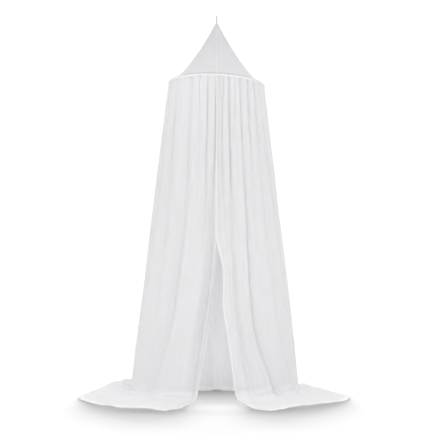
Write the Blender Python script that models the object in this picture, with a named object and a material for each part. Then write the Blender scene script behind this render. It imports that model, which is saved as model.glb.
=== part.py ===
"""Mosquito net canopy with its hoop: a gathered cotton skirt under a tent-shaped crown.

Run it with: blender --background --python part.py
Units are metres, +Z is up and the origin is the point that hangs on the hook.
Azimuths go round the canopy in degrees: 0 is the front slit, 90 the right side, 180 the back
and 270 the left side.
"""
import math
from collections import namedtuple

import bmesh
import bpy

# Overall sizes
FLOOR_Z = -2.000
HOOP_Z = -0.371
HOOP_RADIUS = 0.2460
HOOP_TILT = math.radians(2.3)
FIT_GAP = 0.0003

# Hoop and the cloth casing round it
WIRE_RADIUS = 0.0052
CASING_WALL = 0.0020
CASING_INNER = WIRE_RADIUS + FIT_GAP
CASING_OUTER = CASING_INNER + CASING_WALL
CASING_SLOT = math.radians(16)
RING_STEPS = 48
SECTION_STEPS = 10

# Crown
APEX_Z = -0.0420
TIP_RADIUS = 0.0050
CROWN_CLOTH = 0.0020
CROWN_COLUMNS = 48
CROWN_ROW_SHARES = (0.0, 0.16, 0.32, 0.47, 0.61, 0.73, 0.83, 0.91, 0.96, 1.0)
# Its radius is a sum of terms: each one's share of the hoop's radius, and its power
CROWN_TERMS = ((0.70, 1.0), (0.19, 2.5), (0.11, 24.0))

# Hanging loop of tape: the eye's top bears on the hook at the origin
TAPE_WIDTH = 0.0070
TAPE_THICKNESS = 0.0012
EYE_WIDTH = 0.0062
EYE_LENGTH = 0.0340
EYE_SHOULDER = 0.55
LOOP_TAIL_Z = -0.0560
LOOP_ARC_STEPS = 8

# Skirt
CLOTH = 0.0020
SEWING_GAP = 0.0004
CREST_PROUD = 0.0030
CORNER_WIDTH = 3.8
CORNER_CUT = 0.17
BEND = 0.085
BEND_SHARE = 0.5
PATH_STEP = 0.001
VALLEY_REACH = 0.47
VALLEY_SHARPNESS = 1.6
BACK_FOLDS = 17
FOLD_SHARES = (0.0, 0.2, 0.5, 0.8)
ROW_SHARES = (0.0, 0.010, 0.032, 0.070, 0.125, 0.20, 0.29, 0.39, 0.49, 0.59, 0.68, 0.755, 0.81,
              0.845, 0.873, 0.90, 0.93, 0.965, 1.0)

# How far down the drop an azimuth holds: 0 at the hoop, 1 where the skirt meets the floor, 2 at the hem
AZIMUTH_STATIONS = (0.0, 0.2, 0.4, 0.5, 0.6, 0.7, 0.8, 1.0, 2.0)
DEPTH_STATIONS = (0.0, 0.3, 0.75, 1.0)

# One row for each valley that the front shows, from the slit outwards.
# azimuths: degrees from the slit at AZIMUTH_STATIONS; depths: millimetres at DEPTH_STATIONS;
# hem: share of the ridge height that the valley still cuts at the hem.
Fold = namedtuple("Fold", "name azimuths depths hem")
RIGHT_FOLDS = (
    Fold("slit edge", (0.0, -0.5, -0.5, -0.8, 6.7, 6.3, 12.0, 20.0, 20.8), (0, 0, 0, 0), 0.3),
    Fold("first pleat", (8.0, 6.0, 8.0, 9.8, 14.0, 15.0, 19.0, 26.5, 27.0), (5, 9, 0, 0), 0.1),
    Fold("long pleat", (14.0, 15.0, 17.0, 17.7, 18.5, 20.5, 24.0, 36.0, 33.0), (6, 17, 15, 15), 1.0),
    Fold("short pleat", (21.0, 22.0, 24.0, 24.9, 26.0, 28.0, 32.0, 46.0, 44.0), (4, 3, 3, 6), 0.3),
    Fold("main valley", (28.0, 29.5, 32.5, 33.8, 35.0, 36.5, 40.5, 60.0, 57.0), (6, 16, 20, 20), 1.0),
    Fold("thin pleat", (39.0, 41.0, 44.0, 45.9, 48.0, 50.0, 54.0, 68.0, 69.0), (5, 10, 3, 4), 0.3),
    Fold("outer valley", (50.0, 53.0, 57.0, 59.4, 62.0, 65.0, 68.0, 76.0, 80.0), (6, 14, 18, 16), 1.0),
    Fold("side valley", (61.0, 66.0, 76.0, 79.3, 82.0, 84.0, 86.0, 92.0, 96.0), (5, 12, 16, 14), 1.0),
)
LEFT_FOLDS = (
    Fold("slit edge", (-5.0, -5.0, -3.5, -1.5, 3.0, 6.5, 11.0, 17.6, 17.4), (6, 11, 20, 16), 0.5),
    Fold("edge valley", (1.0, 1.0, 4.0, 5.5, 7.5, 11.5, 17.0, 22.5, 22.0), (6, 14, 26, 20), 1.0),
    Fold("first pleat", (10.0, 11.0, 12.0, 15.6, 20.0, 24.0, 29.0, 36.0, 36.0), (6, 13, 2, 2), 0.3),
    Fold("short pleat", (20.0, 19.5, 23.0, 25.8, 29.0, 33.0, 38.0, 46.0, 46.0), (5, 7, 2, 3), 0.3),
    Fold("main valley", (30.0, 33.0, 36.0, 38.8, 42.0, 45.0, 49.5, 62.0, 60.0), (6, 17, 20, 20), 1.0),
    Fold("outer valley", (53.0, 54.0, 56.0, 57.3, 59.0, 62.0, 66.0, 76.0, 78.0), (5, 14, 9, 8), 0.5),
    Fold("side valley", (72.0, 73.0, 75.0, 76.4, 78.0, 80.0, 83.0, 92.0, 95.0), (5, 12, 14, 14), 1.0),
)
# A back valley's mean depth in millimetres, and how far it strays from that and from even spacing
BACK_DEPTHS = (6, 14, 18, 15)
BACK_DEPTH_STRAY = 0.3
BACK_SPACING_STRAY = 0.22
BACK_HEM_SHARE = 1.0

# How far the crests stand out from the bottoms of the valleys, in millimetres
CREST_STATIONS = (0.0, 0.3, 0.75, 1.0)
CREST_HEIGHTS = (6, 18, 26, 24)

# Where the skirt meets the floor, as half-widths to the four sides
FOOT_FRONT = 0.300
FOOT_RIGHT = 0.432
FOOT_BACK = 0.500
FOOT_LEFT = 0.448

# Outline of the hem on the floor, with the height of its ridges and of the air under the cloth
# halfway out to it, both in millimetres
HemPoint = namedtuple("HemPoint", "azimuth radius ridge heap")
HEM = (
    HemPoint(0, 0.600, 7, 3), HemPoint(24, 0.630, 7, 3), HemPoint(32, 0.588, 8, 4),
    HemPoint(43, 0.550, 8, 4), HemPoint(55, 0.558, 8, 3), HemPoint(67, 0.592, 7, 3),
    HemPoint(76, 0.634, 6, 4), HemPoint(88, 0.672, 5, 5), HemPoint(98, 0.697, 6, 7),
    HemPoint(112, 0.700, 18, 9), HemPoint(128, 0.645, 34, 12), HemPoint(146, 0.585, 26, 9),
    HemPoint(165, 0.530, 8, 2), HemPoint(180, 0.513, 3, 0), HemPoint(195, 0.535, 9, 3),
    HemPoint(214, 0.600, 34, 24), HemPoint(232, 0.672, 46, 34), HemPoint(250, 0.724, 22, 18),
    HemPoint(266, 0.714, 6, 10), HemPoint(282, 0.664, 5, 6), HemPoint(295, 0.645, 7, 4),
    HemPoint(304, 0.622, 8, 4), HemPoint(316, 0.638, 8, 5), HemPoint(325, 0.582, 8, 4),
    HemPoint(333, 0.602, 7, 4), HemPoint(339, 0.616, 7, 3), HemPoint(360, 0.600, 7, 3),
)

Finish = namedtuple("Finish", "colour roughness")
FINISHES = {
    "skirt": Finish((0.90, 0.90, 0.90, 1.0), 0.90),
    "crown": Finish((0.86, 0.86, 0.87, 1.0), 0.90),
    "hoop_casing": Finish((0.90, 0.90, 0.90, 1.0), 0.90),
    "hoop": Finish((0.80, 0.80, 0.79, 1.0), 0.50),
    "hanging_loop": Finish((0.84, 0.84, 0.84, 1.0), 0.85),
}
MILLIMETRE = 0.001


def clear_scene():
    """Remove everything that the new scene starts with."""
    for item in list(bpy.data.objects):
        bpy.data.objects.remove(item, do_unlink=True)


def smooth_through(stations, values, at):
    """Read a table on a smooth curve through its values."""
    last = len(stations) - 1
    if at <= stations[0]:
        return values[0]
    if at >= stations[last]:
        return values[last]
    i = max(k for k in range(last) if stations[k] <= at)
    slopes = []
    for k in (i, i + 1):
        low, high = max(k - 1, 0), min(k + 1, last)
        slopes.append((values[high] - values[low]) / (stations[high] - stations[low]))
    span = stations[i + 1] - stations[i]
    t = (at - stations[i]) / span
    start = (1 + 2 * t) * (1 - t) ** 2 * values[i] + t * (1 - t) ** 2 * span * slopes[0]
    end = t * t * (3 - 2 * t) * values[i + 1] - t * t * (1 - t) * span * slopes[1]
    return start + end


def back_folds():
    """Fill the back with valleys between the two side valleys, unevenly but by rule."""
    right, left = RIGHT_FOLDS[-1], LEFT_FOLDS[-1]
    folds = []
    for k in range(1, BACK_FOLDS + 1):
        share = (k + BACK_SPACING_STRAY * math.sin(2.3 * k)) / (BACK_FOLDS + 1)
        azimuths = tuple(a + share * (360 - b - a) for a, b in zip(right.azimuths, left.azimuths))
        stray = 1 + BACK_DEPTH_STRAY * math.sin(1.7 * k)
        folds.append(Fold("back", azimuths, tuple(d * stray for d in BACK_DEPTHS), BACK_HEM_SHARE))
    return folds


def all_folds():
    """List every valley in order, from the right slit edge round the back to the left one."""
    left = [fold._replace(azimuths=tuple(360 - a for a in fold.azimuths)) for fold in LEFT_FOLDS]
    return list(RIGHT_FOLDS) + back_folds() + left[::-1]


def foot_radius(azimuth):
    """Give the distance from the axis to where the skirt meets the floor."""
    a = math.radians(azimuth)
    side = FOOT_RIGHT if math.sin(a) > 0 else FOOT_LEFT
    ahead = FOOT_FRONT if math.cos(a) > 0 else FOOT_BACK
    return 1 / math.hypot(math.sin(a) / side, math.cos(a) / ahead)


def hem_value(column, azimuth):
    """Read one column of the hem's table at an azimuth."""
    stations = [point.azimuth for point in HEM]
    return smooth_through(stations, [getattr(point, column) for point in HEM], azimuth % 360)


def hem_radius(azimuth):
    """Give the distance from the axis to the hem, rounded off at the two front corners."""
    right, left = RIGHT_FOLDS[0].azimuths[-1], 360 - LEFT_FOLDS[0].azimuths[-1]
    past = 1 - min(max(min(azimuth - right, left - azimuth) / CORNER_WIDTH, 0.0), 1.0)
    return hem_value("radius", azimuth) * (1 - CORNER_CUT * past * past)


def hoop_height(x, offset):
    """Give the height of the tilted hoop at x, with a vertical offset."""
    return HOOP_Z - x * math.tan(HOOP_TILT) + offset


def fold_azimuth(fold, depth_share):
    """Give a valley's azimuth at a share of the drop."""
    return smooth_through(AZIMUTH_STATIONS, fold.azimuths, depth_share)


def crest_height(azimuth, depth_share):
    """Give how far the crests stand out at a place on the skirt."""
    height = smooth_through(CREST_STATIONS, CREST_HEIGHTS, depth_share)
    if depth_share > 1:
        height += (depth_share - 1) * (hem_value("ridge", azimuth) - height)
        height += math.sin(math.pi * (depth_share - 1)) * hem_value("heap", azimuth)
    return height * MILLIMETRE


def valley_depth(fold, azimuth, depth_share):
    """Give how deep one valley cuts into the crests at a share of the drop."""
    depth = smooth_through(DEPTH_STATIONS, fold.depths, depth_share)
    if depth_share > 1:
        depth += (depth_share - 1) * (fold.hem * hem_value("ridge", azimuth) - depth)
    return depth * MILLIMETRE


def valley_share(t):
    """Give the share of a valley's depth that is left at share t of the way to the next valley."""
    return max(0.0, 1 - t / VALLEY_REACH) ** VALLEY_SHARPNESS


def bent_path(azimuth, along, wall, floor):
    """Follow the cloth down the wall, through its bend and out along the floor.

    Returns the distance from the axis, the share of the drop and the direction that faces out.
    """
    crest = crest_height(azimuth, min(along / wall, 1.0))
    top = HOOP_RADIUS + CREST_PROUD
    foot = foot_radius(azimuth)
    hem = hem_radius(azimuth)

    def at(distance):
        if distance <= wall:
            share = distance / wall
            return top + share * (foot - top) - crest, (1 - share) * wall
        return foot - crest + (distance - wall) / floor * (hem - foot + crest), 0.0

    bend = min(BEND, BEND_SHARE * floor)
    t = (along - wall + bend) / (2 * bend)
    if not 0 < t < 1:
        (r0, h0), (r1, h1) = at(along - PATH_STEP), at(along + PATH_STEP)
        radius, height = at(along)
    else:
        start, corner, end = at(wall - bend), at(wall), at(wall + bend)
        radius, height = [(1 - t) ** 2 * p + 2 * t * (1 - t) * q + t * t * s
                          for p, q, s in zip(start, corner, end)]
        (r0, h0), (r1, h1) = [[p + s * (q - p) for p, q in zip(*pair)]
                              for pair, s in (((start, corner), t), ((corner, end), t))]
    length = math.hypot(r1 - r0, h1 - h0)
    return radius, height / wall, ((h0 - h1) / length, (r1 - r0) / length)


def skirt_point(before, after, t, v):
    """Place one point of the skirt.

    before and after are the valleys on each side, t the share of the way between them and
    v the share of the cloth's length from the casing to the hem.
    """
    def azimuth_at(share):
        a, b = fold_azimuth(before, share), fold_azimuth(after, share)
        return a + t * (b - a)

    foot = foot_radius(azimuth_at(1.0))
    wall = math.hypot(foot - HOOP_RADIUS, HOOP_Z - FLOOR_Z)
    floor = hem_radius(azimuth_at(2.0)) - foot
    along = v * (wall + floor)
    share = along / wall if along < wall else 1 + (along - wall) / floor
    azimuth = azimuth_at(share)
    radius, height, (out, up) = bent_path(azimuth, along, wall, floor)
    lift = crest_height(azimuth, share) - (valley_depth(before, azimuth, share) * valley_share(t)
                                           + valley_depth(after, azimuth, share) * valley_share(1 - t))
    radius += out * lift
    x = radius * math.sin(math.radians(azimuth))
    y = -radius * math.cos(math.radians(azimuth))
    top = hoop_height(x, -CASING_OUTER - SEWING_GAP)
    rest = FLOOR_Z + CLOTH / 2
    return x, y, rest + height * (top - rest) + up * lift * (1 - height)


def mesh_object(name, points, faces):
    """Make a mesh object from points and faces."""
    mesh = bpy.data.meshes.new(name)
    mesh.from_pydata(points, [], faces)
    mesh.validate()
    item = bpy.data.objects.new(name, mesh)
    bpy.context.scene.collection.objects.link(item)
    return item


def grid_faces(rows, columns, closed):
    """Join a grid of points into quads, row after row, closed across its columns or not."""
    faces = []
    for i in range(rows - 1):
        for j in range(columns if closed else columns - 1):
            k = (j + 1) % columns
            faces.append((i * columns + j, (i + 1) * columns + j, (i + 1) * columns + k, i * columns + k))
    return faces


def thicken(item, thickness):
    """Give a sheet its thickness, half to each side."""
    solid = item.modifiers.new("Cloth", "SOLIDIFY")
    solid.thickness = thickness
    solid.offset = 0.0
    solid.use_even_offset = False
    return item


def make_skirt():
    """Make the gathered skirt, open at the front and spread out on the floor."""
    folds = all_folds()
    columns = [(a, b, t) for a, b in zip(folds, folds[1:]) for t in FOLD_SHARES]
    columns.append((folds[-2], folds[-1], 1.0))
    points = [skirt_point(a, b, t, v) for v in ROW_SHARES for a, b, t in columns]
    faces = grid_faces(len(ROW_SHARES), len(columns), closed=False)
    return thicken(mesh_object("skirt", points, faces), CLOTH)


def crown_share(t):
    """Give the crown's radius, as a share of the hoop's, at share t of the way down."""
    return sum(share * t ** power for share, power in CROWN_TERMS)


def make_crown():
    """Make the tent-shaped crown, straight below its tip and flared out to the hoop."""
    points = []
    for t in CROWN_ROW_SHARES:
        radius = TIP_RADIUS + (HOOP_RADIUS - TIP_RADIUS) * crown_share(t)
        for j in range(CROWN_COLUMNS):
            angle = math.tau * j / CROWN_COLUMNS
            x = radius * math.sin(angle)
            base = hoop_height(x, CASING_OUTER + CROWN_CLOTH / 2)
            points.append((x, -radius * math.cos(angle), APEX_Z + t * (base - APEX_Z)))
    faces = grid_faces(len(CROWN_ROW_SHARES), CROWN_COLUMNS, closed=True)
    return thicken(mesh_object("crown", points, faces), CROWN_CLOTH)


def ring(name, section):
    """Turn a closed section round the hoop's axis and tilt it with the hoop."""
    points = []
    for j in range(RING_STEPS):
        angle = math.tau * j / RING_STEPS
        for across, up in section:
            radius = HOOP_RADIUS + across
            points.append((radius * math.sin(angle), -radius * math.cos(angle), up))
    count = len(section)
    faces = []
    for j in range(RING_STEPS):
        k = (j + 1) % RING_STEPS
        for i in range(count):
            n = (i + 1) % count
            faces.append((j * count + i, k * count + i, k * count + n, j * count + n))
    item = mesh_object(name, points, faces)
    item.location.z = HOOP_Z
    item.rotation_euler.y = HOOP_TILT
    return item


def round_section(radius):
    """Give the points round a section, from one side of the seam underneath to the other."""
    angles = [(CASING_SLOT + i * 2 * (math.tau - CASING_SLOT) / SECTION_STEPS) / 2
              for i in range(SECTION_STEPS + 1)]
    return [(radius * math.sin(a), -radius * math.cos(a)) for a in angles]


def make_casing():
    """Make the cloth casing round the hoop, with its seam's slot underneath."""
    return ring("hoop_casing", round_section(CASING_OUTER) + round_section(CASING_INNER)[::-1])


def make_hoop():
    """Make the round wire of the hoop."""
    return ring("hoop", round_section(WIRE_RADIUS))


def eye_outline(grow):
    """Outline the eye of the hanging loop, round at the top and pointed below."""
    half = EYE_WIDTH / 2
    centre = -half
    arc = [(-(half + grow) * math.cos(math.pi * i / LOOP_ARC_STEPS),
            centre + (half + grow) * math.sin(math.pi * i / LOOP_ARC_STEPS))
           for i in range(LOOP_ARC_STEPS + 1)]
    shoulder = centre - EYE_SHOULDER * EYE_LENGTH
    return arc + [(half + grow, shoulder), (grow, -EYE_LENGTH), (-grow, -EYE_LENGTH),
                  (-half - grow, shoulder)]


def make_hanging_loop():
    """Make the tape loop, face to the front: an eye with its ends sewn into the crown's tip."""
    inner = eye_outline(0.0)[:-2] + [eye_outline(0.0)[-1]]
    outer = eye_outline(TAPE_THICKNESS)
    tail = [(TAPE_THICKNESS, LOOP_TAIL_Z), (-TAPE_THICKNESS, LOOP_TAIL_Z)]
    low = LOOP_ARC_STEPS + 3
    outer = outer[:low] + tail + outer[low:]
    shape = bmesh.new()
    edges = []
    for outline in (outer, inner):
        corners = [shape.verts.new((-TAPE_WIDTH / 2, y, z)) for y, z in outline]
        edges += [shape.edges.new((a, b)) for a, b in zip(corners, corners[1:] + corners[:1])]
    filled = bmesh.ops.triangle_fill(shape, edges=edges, use_beauty=True)
    faces = [part for part in filled["geom"] if isinstance(part, bmesh.types.BMFace)]
    grown = bmesh.ops.extrude_face_region(shape, geom=faces)
    moved = [part for part in grown["geom"] if isinstance(part, bmesh.types.BMVert)]
    bmesh.ops.translate(shape, verts=moved, vec=(TAPE_WIDTH, 0, 0))
    bmesh.ops.recalc_face_normals(shape, faces=shape.faces)
    mesh = bpy.data.meshes.new("hanging_loop")
    shape.to_mesh(mesh)
    shape.free()
    item = bpy.data.objects.new("hanging_loop", mesh)
    bpy.context.scene.collection.objects.link(item)
    return item


def dress(item):
    """Give a piece its own cloth or plain finish and smooth shading."""
    finish = bpy.data.materials.new(item.name + "_finish")
    finish.use_nodes = True
    shader = finish.node_tree.nodes["Principled BSDF"]
    shader.inputs["Base Color"].default_value = FINISHES[item.name].colour
    shader.inputs["Roughness"].default_value = FINISHES[item.name].roughness
    shader.inputs["Metallic"].default_value = 0.0
    item.data.materials.append(finish)
    item.data.shade_smooth()


def main():
    """Build the canopy."""
    clear_scene()
    for item in (make_skirt(), make_crown(), make_casing(), make_hoop(), make_hanging_loop()):
        dress(item)


main()
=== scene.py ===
"""Mosquito net canopy with its hoop: gathered muslin skirt, tent-shaped crown, casing and loop.

Units are metres, +Z is up and the origin is the point that hangs on the hook. Azimuths go round
the canopy in degrees: 0 is the front slit, 90 the right side, 180 the back and 270 the left.
"""
import logging
import math
from collections.abc import Sequence
from dataclasses import dataclass, replace
from enum import Enum

import bpy
import numpy as np
from bpy.types import Collection, ID, Material, Mesh, Node, NodeSocket, NodeTree, Object
from mathutils import Matrix, Vector


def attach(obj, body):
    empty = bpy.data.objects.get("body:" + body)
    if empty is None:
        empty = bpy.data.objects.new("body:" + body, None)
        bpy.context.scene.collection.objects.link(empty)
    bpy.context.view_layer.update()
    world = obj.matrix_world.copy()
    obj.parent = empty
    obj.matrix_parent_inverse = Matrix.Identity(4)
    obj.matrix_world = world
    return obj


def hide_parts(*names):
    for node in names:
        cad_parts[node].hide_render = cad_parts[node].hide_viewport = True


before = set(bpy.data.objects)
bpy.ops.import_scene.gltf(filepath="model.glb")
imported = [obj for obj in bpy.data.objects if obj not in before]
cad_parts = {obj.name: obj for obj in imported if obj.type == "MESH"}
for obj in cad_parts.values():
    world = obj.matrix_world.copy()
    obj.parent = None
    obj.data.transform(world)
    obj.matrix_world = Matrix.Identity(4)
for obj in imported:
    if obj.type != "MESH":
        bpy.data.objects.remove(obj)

log = logging.getLogger("canopy")

Array = np.ndarray
Pair = tuple[float, float]
Triple = tuple[float, float, float]
Numbers = tuple[float, ...]
Built = tuple[Object, list[Array]]

MILLIMETRE = 0.001
BODY = "root"
NEAR_ZERO = 1e-12
# An edge of the cloth sharper than this is drawn as a corner
SHARP_EDGE = math.radians(70)
# A cloth's second tone holds below the first share of its pattern, its own colour above the last
TONE_ENDS = (0.35, 0.65)
# The wave texture turns 20 radians for each unit of scale. Divided by about this alone, a pattern
# comes out six times as coarse as the real one, which is too fine to show
WAVE_COARSE = 20.0


# ---------------------------------------------------------------- the fixed frame and its tables


@dataclass(frozen=True)
class Hang:
    """Where the canopy hangs: the floor, and the tilted hoop that carries the cloth."""

    floor_z: float = -2.000
    hoop_z: float = -0.371
    hoop_radius: float = 0.2460
    tilt: float = math.radians(2.3)
    tube_outer: float = 0.0075
    tube_inner: float = 0.0055

    def height(self, x: Array, offset: float) -> Array:
        """Give the height of the tilted hoop at x, with a vertical offset."""
        return self.hoop_z - x * math.tan(self.tilt) + offset


@dataclass(frozen=True)
class Fold:
    """One valley of the skirt.

    azimuths are degrees from the slit at AZIMUTH_STATIONS, depths millimetres at DEPTH_STATIONS,
    and hem the share of the ridge height that the valley still cuts at the hem. Below the gathers
    left and right give the power and the reach of its two flanks, and lean how far the crest on
    its left hangs over it.
    """

    name: str
    azimuths: Numbers
    depths: Numbers
    hem: float
    left: Pair = (1.4, 0.47)
    right: Pair = (1.4, 0.47)
    lean: float = 0.2


@dataclass(frozen=True)
class HemPoint:
    """One point of the hem's outline, with its ridge and the air under the cloth, in mm."""

    azimuth: float
    radius: float
    ridge: float
    heap: float


# How far down the drop an azimuth holds: 0 at the hoop, 1 at the floor, 2 at the hem
AZIMUTH_STATIONS = (0.0, 0.2, 0.4, 0.5, 0.6, 0.7, 0.8, 1.0, 2.0)
DEPTH_STATIONS = (0.0, 0.3, 0.75, 1.0)
RIGHT_FOLDS = (
    Fold("slit edge", (0.0, -0.5, -0.5, -0.8, 6.7, 6.3, 10.8, 17.6, 18.9), (0, 0, 0, 0), 0.1),
    Fold("first pleat", (8.0, 6.0, 8.0, 9.8, 14.0, 15.0, 19.0, 26.5, 27.0), (7, 11, 5, 0), 0.1,
         left=(2.2, 0.35)),
    Fold("long pleat", (14.0, 15.0, 17.0, 17.7, 18.5, 20.5, 23.5, 33.5, 31.5), (20, 20, 16, 16),
         0.4, left=(0.9, 0.80), right=(1.4, 0.38)),
    Fold("short pleat", (21.0, 22.0, 24.0, 24.9, 26.0, 28.0, 32.0, 46.0, 44.0), (4, 2, 1, 3), 0.1),
    Fold("main valley", (28.0, 29.5, 32.0, 32.6, 33.4, 34.5, 38.0, 54.0, 53.0), (15, 18, 32, 34),
         0.4, left=(2.0, 0.34), right=(1.0, 0.52), lean=1.2),
    Fold("thin pleat", (39.0, 41.0, 44.0, 45.9, 48.0, 50.0, 54.0, 68.0, 69.0), (22, 13, 1, 2), 0.1),
    Fold("outer valley", (50.0, 53.0, 57.0, 59.4, 62.0, 65.0, 68.0, 76.0, 80.0), (24, 15, 34, 26),
         0.4, left=(1.2, 0.45), right=(1.0, 0.50)),
    Fold("side valley", (61.0, 66.0, 76.0, 79.3, 82.0, 84.0, 86.0, 92.0, 96.0), (20, 30, 24, 18),
         1.0),
)
LEFT_FOLDS = (
    Fold("slit edge", (-5.0, -5.0, -4.5, -3.2, 0.9, 4.3, 9.0, 18.3, 18.8), (2, 5, 21, 16), 0.2),
    Fold("edge valley", (1.0, 1.0, 4.0, 4.6, 6.2, 10.2, 15.6, 22.2, 22.0), (3, 12, 32, 17), 0.4,
         left=(0.70, 0.47), right=(1.5, 0.47)),
    Fold("first pleat", (10.0, 11.0, 12.0, 15.6, 20.0, 24.0, 29.0, 36.0, 36.0), (6, 13, 1, 1), 0.1),
    Fold("short pleat", (20.0, 19.5, 23.0, 25.8, 29.0, 33.0, 38.0, 46.0, 46.0), (6, 5, 1, 2), 0.1),
    Fold("main valley", (30.0, 33.0, 36.0, 38.8, 42.0, 45.0, 49.5, 62.0, 60.0), (9, 16, 35, 27),
         0.4, left=(1.3, 0.56), right=(1.3, 0.56)),
    Fold("outer valley", (55.5, 56.5, 58.0, 59.0, 60.5, 63.0, 67.0, 76.0, 78.0), (7, 18, 15, 5),
         0.2, left=(1.2, 0.40), right=(1.2, 0.40)),
    Fold("side valley", (72.0, 73.0, 75.0, 76.4, 78.0, 80.0, 83.0, 92.0, 95.0), (8, 11, 7, 6), 1.0),
)
HEM = (
    HemPoint(0, 0.600, 7, 3), HemPoint(24, 0.630, 7, 3), HemPoint(32, 0.588, 8, 4),
    HemPoint(43, 0.550, 8, 4), HemPoint(55, 0.558, 8, 3), HemPoint(67, 0.592, 7, 3),
    HemPoint(76, 0.634, 6, 4), HemPoint(88, 0.672, 5, 5), HemPoint(98, 0.697, 6, 7),
    HemPoint(112, 0.700, 20, 34), HemPoint(128, 0.645, 52, 32), HemPoint(146, 0.585, 38, 20),
    HemPoint(165, 0.498, 2, 0), HemPoint(180, 0.502, 1, 0), HemPoint(195, 0.499, 2, 0),
    HemPoint(214, 0.600, 44, 32), HemPoint(232, 0.672, 62, 52), HemPoint(250, 0.724, 24, 58),
    HemPoint(266, 0.714, 6, 10), HemPoint(282, 0.664, 5, 6), HemPoint(295, 0.645, 7, 4),
    HemPoint(304, 0.622, 8, 4), HemPoint(316, 0.638, 8, 5), HemPoint(325, 0.582, 8, 4),
    HemPoint(333, 0.602, 7, 4), HemPoint(339, 0.616, 7, 3), HemPoint(360, 0.600, 7, 3),
)


class Cut(Enum):
    """How a sheet of cloth was cut before it was sewn and hung: width, length and area."""

    SKIRT = (4.30, 1.93, 4.35)
    CROWN = (1.55, 0.40, 0.30)
    CASING = (1.56, 0.050, 0.078)


# ---------------------------------------------------------------- shared tools


def linear(code: str) -> tuple[float, float, float, float]:
    """Turn an sRGB hex colour into linear light.

    Args:
        code: the colour as "#RRGGBB".

    Returns:
        Red, green, blue and an alpha of 1, in linear light.
    """
    parts = [int(code[i:i + 2], 16) / 255 for i in (1, 3, 5)]
    red, green, blue = [p / 12.92 if p <= 0.04045 else ((p + 0.055) / 1.055) ** 2.4
                        for p in parts]
    return red, green, blue, 1.0


def add_node(tree: NodeTree, kind: str, inputs: dict | None = None,
             **settings: object) -> Node:
    """Add a node with its settings, values and links.

    Args:
        tree: the tree that gets the node.
        kind: the node's type.
        inputs: a value, or the socket to link from, for each input by name or number.
        **settings: properties of the node itself.

    Returns:
        The new node.
    """
    node = tree.nodes.new(kind)
    for name, value in settings.items():
        setattr(node, name, value)
    for name, value in (inputs or {}).items():
        if isinstance(value, NodeSocket):
            tree.links.new(value, node.inputs[name])
        else:
            node.inputs[name].default_value = value
    return node


def smooth_through(stations: Sequence[float], values: Sequence[float],
                   at: Array | float) -> Array:
    """Read a table on a smooth curve through its values.

    Args:
        stations: where the values hold, in rising order.
        values: the values there.
        at: the places to read.

    Returns:
        The curve's values at those places.
    """
    x, y = np.asarray(stations, float), np.asarray(values, float)
    place = np.clip(np.asarray(at, float), x[0], x[-1])
    last = len(x) - 1
    i = np.clip(np.searchsorted(x, place, side="right") - 1, 0, last - 1)
    before, beyond = np.maximum(i - 1, 0), np.minimum(i + 2, last)
    slope = (y[i + 1] - y[before]) / (x[i + 1] - x[before])
    slope_next = (y[beyond] - y[i]) / (x[beyond] - x[i])
    span = x[i + 1] - x[i]
    t = (place - x[i]) / span
    start = (1 + 2 * t) * (1 - t) ** 2 * y[i] + t * (1 - t) ** 2 * span * slope
    return start + t * t * (3 - 2 * t) * y[i + 1] - t * t * (1 - t) * span * slope_next


def ease(x: Array, low: float, high: float) -> Array:
    """Rise smoothly from 0 at low to 1 at high."""
    t = np.clip((x - low) / (high - low), 0.0, 1.0)
    return t * t * (3 - 2 * t)


def lengths_along(points: Array) -> Array:
    """Give the distance from the first of a row of points to each of them."""
    return np.concatenate([[0.0], np.cumsum(np.linalg.norm(np.diff(points, axis=0), axis=1))])


def facing(points: Array, closed: bool = False) -> Array:
    """Find which way each point of a grid faces.

    Args:
        points: rows by columns by 3, rows from the top down and columns to the right.
        closed: whether the last column repeats the first.

    Returns:
        Unit vectors that face outwards.
    """
    if closed:
        step = np.roll(points[:, :-1], -1, 1) - np.roll(points[:, :-1], 1, 1)
        sideways = np.concatenate([step, step[:, :1]], 1)
    else:
        sideways = np.gradient(points, axis=1)
    out = np.cross(np.gradient(points, axis=0), sideways)
    return out / np.maximum(np.linalg.norm(out, axis=2, keepdims=True), NEAR_ZERO)


def place_item(name: str, data: ID) -> Object:
    """Put data in the scene as an object, and give it back."""
    item = bpy.data.objects.new(name, data)
    bpy.context.scene.collection.objects.link(item)
    return item


def finish_piece(item: Object) -> Object:
    """Put a piece on the body, log its faces and give it back."""
    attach(item, BODY)
    log.info("%s: %d faces", item.name, len(item.data.polygons))
    return item


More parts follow.
